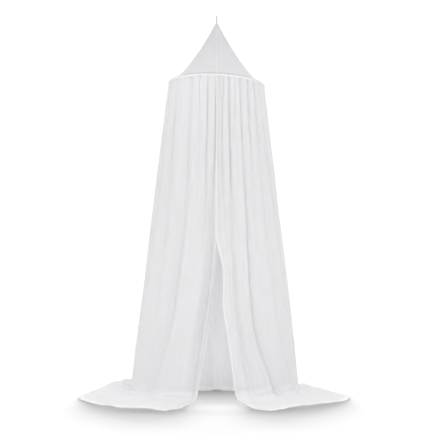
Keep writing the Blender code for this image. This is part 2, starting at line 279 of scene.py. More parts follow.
def cloth_mesh(name: str, points: Array, half: Array, flat: Array,
               material: Material, closed: bool = False,
               marks: Array | None = None) -> Object:
    """Make one closed piece of cloth from a grid of points on its middle surface.

    Args:
        name: the piece's name.
        points: rows by columns by 3, rows from the top down and columns to the right.
        half: rows by columns, half of the cloth's thickness there.
        flat: rows by columns by 2, each point's place on the flat cloth in metres.
        material: the cloth's material.
        closed: whether the last column joins the first, which it then repeats.
        marks: rows by columns, 1 at hems of two layers and where light is painted, kept as an
            attribute.

    Returns:
        The new object.
    """
    rows, columns = points.shape[:2]
    out = facing(points, closed)
    wide = columns - 1 if closed else columns
    layers = [(points + side * out * half[..., None])[:, :wide].reshape(-1, 3) for side in (1, -1)]
    layer = rows * wide
    i, j = [each.ravel() for each in np.meshgrid(np.arange(rows - 1), np.arange(columns - 1),
                                                 indexing="ij")]
    k = (j + 1) % wide
    front = np.stack([i * wide + j, (i + 1) * wide + j, (i + 1) * wide + k, i * wide + k], 1)
    front_flat = np.stack([i * columns + j, (i + 1) * columns + j,
                           (i + 1) * columns + j + 1, i * columns + j + 1], 1)
    faces, places = [front, front[:, ::-1] + layer], [front_flat, front_flat[:, ::-1]]

    def rim(grid_a: Array, grid_b: Array, flat_a: Array, flat_b: Array) -> None:
        """Close one edge of the cloth, with the outer layer's edge running from a to b."""
        faces.append(np.stack([grid_b, grid_a, grid_a + layer, grid_b + layer], 1))
        places.append(np.stack([flat_b, flat_a, flat_a, flat_b], 1))

    j = np.arange(columns - 1)
    k = (j + 1) % wide
    bottom, bottom_flat = (rows - 1) * wide, (rows - 1) * columns
    rim(k, j, j + 1, j)
    rim(bottom + j, bottom + k, bottom_flat + j, bottom_flat + j + 1)
    if not closed:
        i, last = np.arange(rows - 1), columns - 1
        rim(i * wide, (i + 1) * wide, i * columns, (i + 1) * columns)
        rim((i + 1) * wide + last, i * wide + last, (i + 1) * columns + last, i * columns + last)
    mesh = bpy.data.meshes.new(name)
    mesh.from_pydata(np.concatenate(layers).tolist(), [], np.concatenate(faces).tolist())
    layout = mesh.uv_layers.new(name="cloth")
    corners = flat.reshape(-1, 2)[np.concatenate(places).ravel()]
    layout.data.foreach_set("uv", corners.astype(np.float32).ravel())
    if marks is not None:
        doubled_and_painted_light = mesh.attributes.new("doubled_and_painted_light", "FLOAT", "POINT")
        layer_marks = marks[:, :wide].ravel().astype(np.float32)
        doubled_and_painted_light.data.foreach_set("value", np.concatenate([layer_marks, layer_marks]))
    mesh.shade_smooth()
    mesh.set_sharp_from_angle(angle=SHARP_EDGE)
    mesh.materials.append(material)
    return place_item(name, mesh)


def start_tree(name: str, numbers: Sequence[str],
               ) -> tuple[NodeTree, Sequence[NodeSocket]]:
    """Start a geometry tree that takes a geometry, some numbers and a material.

    Args:
        name: the tree's name.
        numbers: the names of the numbers.

    Returns:
        The tree, and the sockets that bring in what it takes.
    """
    tree = bpy.data.node_groups.new(name, "GeometryNodeTree")
    taken = {"Geometry": "Geometry", **{each: "Float" for each in numbers}, "Material": "Material"}
    for socket, kind in taken.items():
        tree.interface.new_socket(socket, in_out="INPUT", socket_type="NodeSocket" + kind)
    tree.interface.new_socket("Geometry", in_out="OUTPUT", socket_type="NodeSocketGeometry")
    return tree, add_node(tree, "NodeGroupInput").outputs


def end_tree(tree: NodeTree, geometry: NodeSocket,
             material: NodeSocket) -> NodeTree:
    """End a geometry tree with real, smooth faces in their material, and give it back."""
    real = add_node(tree, "GeometryNodeRealizeInstances", {"Geometry": geometry})
    smooth = add_node(tree, "GeometryNodeSetShadeSmooth", {0: real.outputs["Geometry"]})
    dressed = add_node(tree, "GeometryNodeSetMaterial", {
        "Geometry": smooth.outputs[0], "Material": material,
    })
    add_node(tree, "NodeGroupOutput", {"Geometry": dressed.outputs["Geometry"]})
    return tree


def grown_piece(name: str, mesh: Mesh, tree: NodeTree, values: dict) -> Object:
    """Run a node tree on a mesh and keep the result as a plain mesh.

    Args:
        name: the piece's name.
        mesh: what the tree starts from.
        tree: the tree.
        values: a value for each named input of the tree.

    Returns:
        The piece, with no modifier left on it.
    """
    source = place_item(name + "_source", mesh)
    growth = source.modifiers.new("Growth", "NODES")
    growth.node_group = tree
    for socket in tree.interface.items_tree:
        if socket.in_out == "INPUT" and socket.name in values:
            growth[socket.identifier] = values[socket.name]
    graph = bpy.context.evaluated_depsgraph_get()
    result = bpy.data.meshes.new_from_object(source.evaluated_get(graph), depsgraph=graph)
    result.name = name
    bpy.data.objects.remove(source, do_unlink=True)
    return finish_piece(place_item(name, result))


# ---------------------------------------------------------------- finishes


class Finish:
    """What every finish has, and how its material starts and ends."""

    name: str
    colour: str
    roughness: float

    def start(self) -> tuple[Material, NodeTree]:
        """Make the material, and give it back with its empty tree."""
        made = bpy.data.materials.new(self.name)
        made.use_nodes = True
        made.node_tree.nodes.clear()
        return made, made.node_tree

    def end(self, made: Material, relief: dict, body: dict) -> Material:
        """End the material with a plain body in its colour.

        Args:
            made: the material.
            relief: the inputs of the bump that gives the body its relief.
            body: the body's other inputs.

        Returns:
            The material.
        """
        tree = made.node_tree
        bumped = add_node(tree, "ShaderNodeBump", relief).outputs["Normal"]
        shader = add_node(tree, "ShaderNodeBsdfPrincipled", {
            "Base Color": linear(self.colour), "Roughness": self.roughness, "Normal": bumped,
        } | body).outputs["BSDF"]
        add_node(tree, "ShaderNodeOutputMaterial", {"Surface": shader})
        return made


class Cloth(Finish):
    """What both cloths have besides: a second tone, a marked tone for two-layer hems and painted
    light, and some light through them.
    """

    second: str
    doubled_and_painted_light: str
    through: str
    light_through: float
    marked_through: float
    sheen: float

    def end_cloth(self, made: Material, tones: NodeSocket,
                  bumped: NodeSocket) -> Material:
        """End the material with a body that lets light through, least where it is marked.

        Args:
            made: the material.
            tones: 0 where the second tone shows, 1 where the colour does.
            bumped: the normal that carries the relief.

        Returns:
            The material.
        """
        tree = made.node_tree
        ramp = add_node(tree, "ShaderNodeValToRGB", {"Fac": tones})
        for point, place, tone in zip(ramp.color_ramp.elements, TONE_ENDS,
                                      (self.second, self.colour)):
            point.position, point.color = place, linear(tone)
        doubled_and_painted_light = add_node(tree, "ShaderNodeAttribute", attribute_name="doubled_and_painted_light").outputs["Fac"]
        # Marked parts take the marked tone: two-layer hems with painted highlight on the muslin,
        # painted shade on the batiste
        shade = add_node(tree, "ShaderNodeMix", {
            0: doubled_and_painted_light, 6: ramp.outputs["Color"], 7: linear(self.doubled_and_painted_light),
        }, data_type="RGBA").outputs[2]
        body = add_node(tree, "ShaderNodeBsdfPrincipled", {
            "Base Color": shade, "Roughness": self.roughness, "Specular IOR Level": 0.15,
            "Sheen Weight": self.sheen, "Sheen Roughness": 0.6, "Normal": bumped,
        }).outputs["BSDF"]
        through = add_node(tree, "ShaderNodeBsdfTranslucent", {
            "Color": linear(self.through), "Normal": bumped,
        }).outputs["BSDF"]
        share = add_node(tree, "ShaderNodeMapRange", {
            "Value": doubled_and_painted_light, "To Min": self.light_through,
            "To Max": self.marked_through * self.light_through,
        }).outputs["Result"]
        mixed = add_node(tree, "ShaderNodeMixShader", {"Fac": share, 1: body, 2: through})
        add_node(tree, "ShaderNodeOutputMaterial", {"Surface": mixed.outputs["Shader"]})
        return made


@dataclass(frozen=True)
class Muslin(Cloth):
    """Cotton muslin, woven open and left crinkled: matt, soft white, a little light through it."""

    name: str = "cotton_muslin"
    colour: str = "#F3F3F4"
    second: str = "#EEEEEF"
    # Hems and slit edges are two layers, which reflect more, and their lighter tone is also painted
    # highlight
    doubled_and_painted_light: str = "#FBFBFC"
    through: str = "#F6F6F7"
    crinkle_width: float = 0.0085
    crinkle_length: float = 0.110
    thread: float = 0.0024
    crinkle_height: float = 0.0011
    weave_height: float = 0.00012
    light_through: float = 0.30
    marked_through: float = 0.85
    sheen: float = 0.05
    roughness: float = 0.92

    def material(self) -> Material:
        """Build the cloth's material, which reads its flat layout in metres, and give it back."""
        made, tree = self.start()
        flat = add_node(tree, "ShaderNodeUVMap", uv_map="cloth").outputs["UV"]
        # Crinkles run down the warp: as wide as a finger-nail is thick, as long as a hand
        stretched = add_node(tree, "ShaderNodeMapping", {
            "Vector": flat,
            "Scale": (1 / self.crinkle_width, 1 / self.crinkle_length, 1.0),
        }).outputs["Vector"]
        crinkle = add_node(tree, "ShaderNodeTexNoise", {
            "Vector": stretched, "Scale": 1.0, "Detail": 3.0, "Roughness": 0.55,
            "Distortion": 0.35,
        }).outputs["Fac"]
        # The weave is drawn at about three threads' spacing, since one thread is too fine to show
        threads = []
        for warp, weft in ((1.0, 0.0), (0.0, 1.0)):
            along = add_node(tree, "ShaderNodeVectorMath", {
                0: flat, 1: (warp / self.thread, weft / self.thread, 0.0),
            }, operation="DOT_PRODUCT").outputs["Value"]
            turned = add_node(tree, "ShaderNodeMath", {0: along, 1: math.tau},
                              operation="MULTIPLY").outputs["Value"]
            threads.append(add_node(tree, "ShaderNodeMath", {0: turned},
                                    operation="SINE").outputs["Value"])
        weave = add_node(tree, "ShaderNodeMath", {0: threads[0], 1: threads[1]},
                         operation="MULTIPLY").outputs["Value"]
        rough_weave = add_node(tree, "ShaderNodeBump", {
            "Height": weave, "Strength": 0.5, "Distance": self.weave_height,
        }).outputs["Normal"]
        bumped = add_node(tree, "ShaderNodeBump", {
            "Height": crinkle, "Strength": 0.8, "Distance": self.crinkle_height,
            "Normal": rough_weave,
        }).outputs["Normal"]
        return self.end_cloth(made, crinkle, bumped)


@dataclass(frozen=True)
class Batiste(Cloth):
    """Close plain-woven cotton, drawn tight over the crown: matt, and on the crown a shade greyer
    than muslin, as painted shade.

    Its marked tone is painted shade, darker along the line where crown and casing meet.
    """

    name: str
    colour: str
    second: str
    # Painted shade along the line where crown and casing meet
    doubled_and_painted_light: str = "#CFCFD0"
    through: str = "#F0F0F1"
    light_through: float = 0.40
    marked_through: float = 0.5
    thread: float = 0.0016
    wave_coarse: float = math.tau * 3.18
    slub: float = 0.020
    weave_height: float = 0.00040
    sheen: float = 0.04
    roughness: float = 0.88

    def material(self) -> Material:
        """Build the cloth's material, which reads the object's coordinates, and give it back."""
        made, tree = self.start()
        place = add_node(tree, "ShaderNodeTexCoord").outputs["Object"]
        threads = [add_node(tree, "ShaderNodeTexWave", {
            "Vector": place, "Scale": 1 / (self.thread * self.wave_coarse), "Distortion": 1.2,
            "Detail": 1.0, "Detail Scale": 0.4,
        }, bands_direction=axis).outputs["Fac"] for axis in ("X", "Z")]
        weave = add_node(tree, "ShaderNodeMath", {0: threads[0], 1: threads[1]},
                         operation="MULTIPLY").outputs["Value"]
        slubs = add_node(tree, "ShaderNodeTexNoise", {
            "Vector": place, "Scale": 1 / self.slub, "Detail": 4.0, "Roughness": 0.6,
        }).outputs["Fac"]
        height = add_node(tree, "ShaderNodeMath", {0: weave, 1: slubs},
                          operation="ADD").outputs["Value"]
        bumped = add_node(tree, "ShaderNodeBump", {
            "Height": height, "Strength": 0.5, "Distance": self.weave_height,
        }).outputs["Normal"]
        return self.end_cloth(made, slubs, bumped)


@dataclass(frozen=True)
class CottonThread(Finish):
    """Twisted cotton sewing thread: matt, with a fine diagonal ply."""

    name: str = "cotton_thread"
    colour: str = "#F2F2F0"
    ply: float = 0.0011
    roughness: float = 0.75

    def material(self) -> Material:
        """Build the thread's material and give it back."""
        made, tree = self.start()
        place = add_node(tree, "ShaderNodeTexCoord").outputs["Object"]
        twist = add_node(tree, "ShaderNodeTexWave", {
            "Vector": place, "Scale": 1 / (self.ply * WAVE_COARSE), "Distortion": 0.5,
        }, bands_direction="DIAGONAL").outputs["Fac"]
        return self.end(made, {"Height": twist, "Strength": 0.4, "Distance": 0.0001},
                        {"Specular IOR Level": 0.25})


@dataclass(frozen=True)
class CottonTape(Finish):
    """Narrow woven cotton tape: ribbed across, with a firm matt face."""

    name: str = "cotton_tape"
    # The grey tone is painted shade: the tape itself is white
    colour: str = "#C9C9C8"
    rib: float = 0.0013
    roughness: float = 0.85

    def material(self) -> Material:
        """Build the tape's material and give it back."""
        made, tree = self.start()
        flat = add_node(tree, "ShaderNodeUVMap", uv_map="cloth").outputs["UV"]
        ribs = add_node(tree, "ShaderNodeTexWave", {
            "Vector": flat, "Scale": 1 / (self.rib * WAVE_COARSE), "Distortion": 0.3,
        }, bands_direction="Y").outputs["Fac"]
        return self.end(made, {"Height": ribs, "Strength": 0.7, "Distance": 0.0003},
                        {"Specular IOR Level": 0.2})


@dataclass(frozen=True)
class HoopPlastic(Finish):
    """Extruded polypropylene rod: off-white, a dull shine and faint marks from the die."""

    name: str = "extruded_polypropylene"
    colour: str = "#DCDCD8"
    drag: float = 0.0018
    roughness: float = 0.45

    def material(self) -> Material:
        """Build the rod's material and give it back."""
        made, tree = self.start()
        place = add_node(tree, "ShaderNodeTexCoord").outputs["Object"]
        marks = add_node(tree, "ShaderNodeTexNoise", {
            "Vector": place, "Scale": 1 / self.drag, "Detail": 2.0,
        }).outputs["Fac"]
        return self.end(made, {"Height": marks, "Strength": 0.2, "Distance": 0.0001},
                        {"IOR": 1.49})


# ---------------------------------------------------------------- stitches


@dataclass(frozen=True)
class Stitching:
    """A row of machine stitches: a node tree lays one short thread after another on a path."""

    length: float = 0.0036
    spacing: float = 0.0050
    thread: float = 0.0009
    shortest: float = 0.88
    longest: float = 1.06
    seed: int = 7

    def tree(self) -> NodeTree:
        """Build the tree that turns a path of edges into stitches, and give it back."""
        tree, given = start_tree("stitch_row", ("Spacing", "Length", "Thread"))
        path = add_node(tree, "GeometryNodeMeshToCurve", {"Mesh": given["Geometry"]})
        spaced = add_node(tree, "GeometryNodeResampleCurve", {
            "Curve": path.outputs["Curve"], "Length": given["Spacing"],
        }, mode="LENGTH")
        tangent = add_node(tree, "GeometryNodeInputTangent").outputs["Tangent"]
        turned = add_node(tree, "FunctionNodeAlignRotationToVector", {"Vector": tangent},
                          axis="X").outputs["Rotation"]
        stray = add_node(tree, "FunctionNodeRandomValue", {
            2: self.shortest, 3: self.longest, "Seed": self.seed,
        }, data_type="FLOAT").outputs[1]
        long = add_node(tree, "ShaderNodeMath", {0: given["Length"], 1: stray},
                        operation="MULTIPLY").outputs["Value"]
        size = add_node(tree, "ShaderNodeCombineXYZ", {
            "X": long, "Y": given["Thread"], "Z": given["Thread"],
        }).outputs["Vector"]
        stitch = add_node(tree, "GeometryNodeMeshIcoSphere", {
            "Radius": 0.5, "Subdivisions": 1,
        }).outputs["Mesh"]
        laid = add_node(tree, "GeometryNodeInstanceOnPoints", {
            "Points": spaced.outputs["Curve"], "Instance": stitch, "Rotation": turned,
            "Scale": size,
        }).outputs["Instances"]
        return end_tree(tree, laid, given["Material"])

    def sew(self, name: str, paths: list[Array], tree: NodeTree,
            material: Material) -> Object:
        """Sew rows of stitches along paths.

        Args:
            name: the piece's name.
            paths: one array of points for each row.
            tree: the stitch tree.
            material: the thread's material.

        Returns:
            The stitches as one plain mesh.
        """
        points, edges = [], []
        for path in paths:
            first = len(points)
            points += path.tolist()
            edges += [(first + k, first + k + 1) for k in range(len(path) - 1)]
        mesh = bpy.data.meshes.new(name + "_path")
        mesh.from_pydata(points, edges, [])
        return grown_piece(name, mesh, tree, {
            "Spacing": self.spacing, "Length": self.length, "Thread": self.thread,
            "Material": material,
        })


# ---------------------------------------------------------------- the skirt


@dataclass(frozen=True)
class Ripple:
    """Soft uneven waves across the cloth that wander as they run down it.

    lengths are the wavelengths, mixed with equal weight. wander is how far a wave strays sideways
    in radians of its own turn, reach the distance over which it does, and phase where it starts.
    The steps keep one wavelength from starting, straying and turning where the one before does.
    """

    lengths: Numbers
    wander: float
    reach: float
    phase: float
    phase_step: float = 2.4
    stray_step: float = 1.7
    reach_step: float = 0.37

    def height(self, across: Array, along: Array) -> Array:
        """Give heights between about -1 and 1 for distances across and along the cloth."""
        total = np.zeros(np.broadcast(across, along).shape)
        for k, length in enumerate(self.lengths):
            turn = math.tau * across / length + self.phase + self.phase_step * k
            down = math.tau * along / (self.reach * (1 + self.reach_step * k))
            stray = np.sin(down + self.stray_step * k + self.phase)
            total += np.sin(turn + self.wander * stray)
        return total / len(self.lengths)


@dataclass(frozen=True)
class Skirt:
    """The gathered skirt, open at the front and spread out on the floor."""

    hang: Hang
    thickness: float = 0.0014
    hem_thickness: float = 0.0028
    hem_width: float = 0.023
    hem_step: Pair = (-0.002, 0.001)
    edge_band: float = 0.20
    edge_step: Pair = (-0.02, 0.01)
    edge_columns: Pair = (0.02, 0.23)
    stitch_band: float = 0.17
    stitch_in: float = 0.004
    crest_proud: float = 0.0058
    rest: float = 0.0015
    bend: float = 0.085
    bend_share: float = 0.5
    path_step: float = 0.001
    crisp_flank: Pair = (2.2, 0.47)
    crisp_round: float = 0.035
    soft_round: float = 0.085
    round_share: float = 0.6
    soft_from: Pair = (0.20, 0.45)
    gather_deepen: float = 0.0045
    gather_deepest: float = 0.09
    lean: float = 0.0060
    lean_depth: float = 0.020
    lean_back: float = 0.4
    lean_fades: Pair = (0.92, 1.05)
    corner_width: float = 3.8
    corner_cut: float = 0.17
    back_folds: int = 17
    back_depths: Numbers = (8, 15, 16, 14)
    back_depth_stray: float = 0.3
    back_spacing_stray: float = 0.22
    back_turns: Pair = (2.3, 1.7)
    # How much of its folds the hem has lost: pressed behind, where it starts, and the small ones
    hem_pressed: float = 0.85
    pressed_by: Pair = (1.35, 1.95)
    pressed_from: Pair = (0.1, 0.5)
    hem_settled: float = 0.65
    settled_by: Pair = (1.45, 1.95)
    upright_from: Pair = (0.88, 0.95)
    upright_power: int = 40
    crest_stations: Numbers = (0.0, 0.3, 0.75, 1.0)
    crest_heights: Numbers = (6, 18, 26, 24)
    foot_front: float = 0.300
    foot_right: float = 0.432
    foot_back: float = 0.500
    foot_left: float = 0.448
    into_casing: float = 0.0020
    crest_into_casing: float = 0.0024
    crest_reach: float = 0.006
    column_step: float = 0.0105
    column_share: float = 0.55
    fewest_columns: int = 9
    most_columns: int = 20
    row_stations: Numbers = (0.0, 0.06, 0.16, 0.50, 0.78, 0.985, 1.0)
    row_counts: tuple[int, ...] = (12, 12, 20, 18, 40, 4)
    across_at: float = 0.70
    gather_height: float = 0.0020
    gather_fade: float = 0.060
    # Each row of gathers: its part, its width, how far it strays and over what reach, its phase
    pinches: tuple[Numbers, ...] = ((0.6, 0.041, 0.9, 0.19, 0.0),
                                              (0.4, 0.029, 1.3, 0.23, 1.0))
    pinches_mean: float = 0.6
    soft_height: float = 0.0024
    # What runs down the wall: the ripple, its part, where it rises and falls, and how much is lost
    running: tuple[tuple[Ripple, float, Pair, Pair, float], ...] = (
        (Ripple((0.094, 0.137, 0.217), 0.9, 1.1, 0.4), 1.0, (0.02, 0.40), (1.62, 1.90), 0.55),
        (Ripple((0.047, 0.061), 1.2, 0.7, 2.0), 0.35, (0.01, 0.12), (0.35, 0.90), 0.8),
    )
    break_height: float = 0.0045
    breaks: Ripple = Ripple((0.058, 0.083), 1.4, 0.31, 1.1)
    breaks_above: float = 0.015
    breaks_slant: float = 0.30
    floor_enough: Pair = (0.02, 0.10)
    puddle_height: float = 0.0030
    puddle: Ripple = Ripple((0.075, 0.118, 0.171), 1.3, 0.24, 0.7)
    puddle_slants: Pair = (0.55, 0.4)
    lying_from: Pair = (0.03, 0.12)

    def folds(self) -> list[Fold]:
        """List every valley in order, from the right slit edge round the back to the left."""
        right, left = RIGHT_FOLDS[-1], LEFT_FOLDS[-1]
        back = []
        for k in range(1, self.back_folds + 1):
            stray = self.back_spacing_stray * math.sin(self.back_turns[0] * k)
            share = (k + stray) / (self.back_folds + 1)
            azimuths = tuple(a + share * (360 - b - a)
                             for a, b in zip(right.azimuths, left.azimuths))
            deeper = 1 + self.back_depth_stray * math.sin(self.back_turns[1] * k)
            back.append(Fold("back", azimuths, tuple(d * deeper for d in self.back_depths), 1.0))
        mirrored = [replace(f, azimuths=tuple(360 - a for a in f.azimuths)) for f in LEFT_FOLDS]
        return list(RIGHT_FOLDS) + back + mirrored[::-1]

    def foot_radius(self, azimuth: Array) -> Array:
        """Give the distance from the axis to where the skirt meets the floor."""
        a = np.radians(azimuth)
        side = np.where(np.sin(a) > 0, self.foot_right, self.foot_left)
        ahead = np.where(np.cos(a) > 0, self.foot_front, self.foot_back)
        return 1 / np.hypot(np.sin(a) / side, np.cos(a) / ahead)

    def hem_value(self, column: str, azimuth: Array) -> Array:
        """Read one column of the hem's table at an azimuth."""
        stations = [point.azimuth for point in HEM]
        return smooth_through(stations, [getattr(point, column) for point in HEM],
                              np.mod(azimuth, 360))

    def hem_radius(self, azimuth: Array) -> Array:
        """Give the distance from the axis to the hem, rounded off at the two front corners."""
        right, left = RIGHT_FOLDS[0].azimuths[-1], 360 - LEFT_FOLDS[0].azimuths[-1]
        inside = np.minimum(azimuth - right, left - azimuth)
        past = 1 - np.clip(inside / self.corner_width, 0.0, 1.0)
        return self.hem_value("radius", azimuth) * (1 - self.corner_cut * past * past)

    def crest_height(self, azimuth: Array, share: Array) -> Array:
        """Give how far the crests stand out at a share of the drop."""
        height = smooth_through(self.crest_stations, self.crest_heights, share)
        over = np.maximum(share - 1, 0.0)
        height = height + over * (self.hem_value("ridge", azimuth) - height)
        height = height + np.sin(math.pi * over) * self.hem_value("heap", azimuth)
        return height * MILLIMETRE

    def valley_depth(self, fold: Fold, azimuth: Array, share: Array) -> Array:
        """Give how deep one valley cuts into the crests at a share of the drop."""
        depth = smooth_through(DEPTH_STATIONS, fold.depths, share)
        gathered = np.exp(-((share - self.gather_deepest) / self.gather_deepest) ** 2)
        depth = depth + self.gather_deepen / MILLIMETRE * gathered * (max(fold.depths) > 0)
        over = np.maximum(share - 1, 0.0)
        return (depth + over * (fold.hem * self.hem_value("ridge", azimuth) - depth)) * MILLIMETRE

    def valley_share(self, t: Array, flank: Pair,
                     low: Array) -> Array:
        """Give the share of a valley's depth left at share t of the way to the next one.

        Args:
            t: shares of the way from this valley to the next.
            flank: the power and the reach of this valley's flank below the gathers.
            low: 0 at the gathers, where every valley is crisp, and 1 below them.

        Returns:
            Shares of the depth, 1 in the valley and 0 on the crest.
        """
        power, reach = [crisp + (own - crisp) * low for crisp, own in zip(self.crisp_flank, flank)]
        rounding = self.crisp_round + (self.soft_round - self.crisp_round) * low
        soft = np.sqrt(t * t + rounding ** 2) - self.round_share * rounding
        return np.maximum(0.0, 1 - soft / reach) ** power

    def bent_path(self, azimuth: Array, along: Array, wall: Array,
                  floor: Array) -> tuple[Array, ...]:
        """Follow the cloth down the wall, through its bend and out along the floor.

        Args:
            azimuth: where round the canopy, in degrees.
            along: distance down the cloth.
            wall: length of cloth down to the floor.
            floor: length of cloth on the floor.

        Returns:
            Distance from the axis, share of the height, and the two parts of the direction that
            faces out: away from the axis and up.
        """
        crest = self.crest_height(azimuth, np.minimum(along / wall, 1.0))
        top = self.hang.hoop_radius + self.crest_proud
        foot = self.foot_radius(azimuth)
        hem = self.hem_radius(azimuth)

        def at(distance: Array) -> Array:
            """Give the radius and height of the sharp path at a distance."""
            share = np.minimum(distance / wall, 1.0)
            run = np.maximum(distance - wall, 0.0) / floor
            radius = top + share * (foot - top) - crest + run * (hem - foot + crest)
            return np.stack(np.broadcast_arrays(radius, (1 - share) * wall))

        bend = np.minimum(self.bend, self.bend_share * floor)
        t = (along - wall + bend) / (2 * bend)
        inside = (t > 0) & (t < 1)
        # Within the bend a curve rounds the corner, and the two ends of its tangent slide along
        # the straight legs on either side
        start, corner, end = at(wall - bend), at(wall), at(wall + bend)
        above, below = start + t * (corner - start), corner + t * (end - corner)
        above, middle, below = [
            np.where(inside, curved, at(along + step)) for curved, step in (
                (above, -self.path_step), (above + t * (below - above), 0.0),
                (below, self.path_step))]
        ahead, drop = below - above
        length = np.hypot(ahead, drop)
        return middle[0], middle[1] / wall, -drop / length, ahead / length

    def small_folds(self, across: Array, along: Array, wall: Array,
                    floor: Array) -> Array:
        """Give the height of the small folds that lie between the valleys.

        Gathers are pinched under the casing, soft and fine ripples run down the wall, breaks
        crease it where it bends at the floor, and the puddle is what lies there.

        Args:
            across: distance across the flat cloth.
            along: distance down the cloth.
            wall: length of cloth down to the floor.
            floor: length of cloth on the floor, where there is none the foot has no wrinkles.

        Returns:
            Heights outwards, in metres.
        """
        pinched = sum(part * np.abs(np.sin(math.pi * across / width
                                           + stray * np.sin(across / reach) + phase))
                      for part, width, stray, reach, phase in self.pinches)
        gathers = (pinched - self.pinches_mean) * np.exp(-along / self.gather_fade)
        running = sum(part * ripple.height(across, along) * ease(along, *rises)
                      * (1 - lost * ease(along, *falls))
                      for ripple, part, rises, falls, lost in self.running)
        near = np.exp(-((along - wall + self.breaks_above) / self.bend) ** 2)
        breaks = self.breaks.height(along + self.breaks_slant * across, across)
        slant, back = self.puddle_slants
        puddle = self.puddle.height(across + slant * along, along - back * across)
        return (self.gather_height * gathers + self.soft_height * running
                + self.break_height * breaks * near * ease(floor, *self.floor_enough)
                + self.puddle_height * puddle * ease(along - wall, *self.lying_from))

    def surface(self, before: Fold, after: Fold, t: Array, v: Array,
                across: Array | None) -> tuple[Array, Array]:
        """Place a strip of the skirt's surface between two valleys.

        Args:
            before: the valley on its near side.
            after: the valley on its far side.
            t: shares of the way between them, one for each column.
            v: shares of the cloth's length, one for each row.
            across: each column's place across the flat cloth, or None to leave out small folds.

        Returns:
            Points as rows by columns by 3, and the distance down the cloth to each of them.
        """
        t, v = t[None, :], v[:, None]

        def azimuth_at(share: Array | float) -> Array:
            """Give the azimuth of the columns at a share of the drop."""
            a = smooth_through(AZIMUTH_STATIONS, before.azimuths, share)
            b = smooth_through(AZIMUTH_STATIONS, after.azimuths, share)
            return a + t * (b - a)

        foot = self.foot_radius(azimuth_at(1.0))
        wall = np.hypot(foot - self.hang.hoop_radius, self.hang.hoop_z - self.hang.floor_z)
        floor = self.hem_radius(azimuth_at(2.0)) - foot
        along = v * (wall + floor)
        share = np.where(along < wall, along / wall, 1 + (along - wall) / floor)
        azimuth = azimuth_at(share)
        radius, height, out, up = self.bent_path(azimuth, along, wall, floor)
        low = ease(share, *self.soft_from)
        near = self.valley_share(t, before.right, low)
        far = self.valley_share(1 - t, after.left, low)
        deep, deep_next = [self.valley_depth(fold, azimuth, share) for fold in (before, after)]
        lift = self.crest_height(azimuth, share) - deep * near - deep_next * far
        # Each crest leans over the valley on its right, as cloth that is pushed together does
        ahead, behind = [depth / self.lean_depth * part * (1 - part) * 4
                         * (1 + (fold.lean - 1) * low)
                         for depth, part, fold in ((deep_next, far, after), (deep, near, before))]
        over = (ahead - self.lean_back * behind) * (1 - ease(share, *self.lean_fades))
        azimuth = azimuth + np.degrees(self.lean * over / radius)
        if across is not None:
            settled = 1 - self.hem_settled * ease(share, *self.settled_by)
            lift = lift + settled * self.small_folds(across[None, :], along, wall, floor)
            lift = np.where(share > 1, np.maximum(lift, 0.0), lift)
            # Behind, the cloth's own weight has laid the hem flat
            back = ease(-np.cos(np.radians(azimuth)), *self.pressed_from)
            lift = lift * (1 - self.hem_pressed * back * ease(share, *self.pressed_by))
        radius = radius + out * lift
        turn = np.radians(azimuth)
        x, y = radius * np.sin(turn), -radius * np.cos(turn)
        # Crests are sewn in higher than valleys, so they leave the casing flush with its face
        crest = ease(self.crest_height(azimuth, share) - lift, self.crest_reach, 0.0)
        into = self.into_casing + self.crest_into_casing * crest
        top = self.hang.height(x, -self.hang.tube_outer + into)
        rest = self.hang.floor_z + self.rest
        z = np.maximum(rest + height * (top - rest) + up * lift * (1 - height), rest)
        # Straight behind the cloth stands upright, and its hem just meets the floor
        upright = ease(-np.cos(np.radians(azimuth[-1:])), *self.upright_from)
        z = z - (z[-1:] - rest) * upright * v ** self.upright_power
        return np.stack([x, y, z], 2), along

    def columns(self) -> list[Array]:
        """Space the columns of each strip between two valleys by its mean width."""
        folds = self.folds()
        edge = np.array([*self.edge_columns, self.stitch_band, self.edge_band])
        spaced = []
        for k, (a, b) in enumerate(zip(folds, folds[1:])):
            wide = sum(abs(q - p) for p, q in zip(a.azimuths, b.azimuths)) / len(a.azimuths)
            count = round(math.radians(wide) * self.column_share / self.column_step)
            count = int(np.clip(count, self.fewest_columns, self.most_columns))
            t = np.linspace(0, 1, count + 1)
            if k == 0:
                t = np.unique(np.concatenate([edge, t]))
            if k == len(folds) - 2:
                spaced.append(np.unique(np.concatenate([t, 1 - edge])))
            else:
                spaced.append(t[:-1])
        return spaced

    def rows(self) -> Array:
        """Space the rows: close at the gathers, the break and the hem, wide between."""
        parts = [np.linspace(a, b, n, endpoint=False)
                 for a, b, n in zip(self.row_stations, self.row_stations[1:], self.row_counts)]
        return np.concatenate(parts + [[1.0]])

    def grid(self) -> tuple[Array, Array, Array, Array]:
        """Lay out the whole skirt.

        Returns:
            Points, flat layout, hem marks that also hold painted highlight, and half thickness, each
            rows by columns.
        """
        folds, columns, rows = self.folds(), self.columns(), self.rows()
        pairs = list(zip(folds, folds[1:], columns))
        plain = np.concatenate([self.surface(a, b, t, rows, None)[0] for a, b, t in pairs], 1)
        across = lengths_along(plain[int(np.argmin(np.abs(rows - self.across_at)))])
        firsts = np.cumsum([0] + [len(t) for t in columns])
        strips = [self.surface(a, b, t, rows, across[first:first + len(t)])
                  for first, (a, b, t) in zip(firsts, pairs)]
        points, along = [np.concatenate(each, 1) for each in zip(*strips)]
        flat = np.stack([np.broadcast_to(across, along.shape), -along], 2)
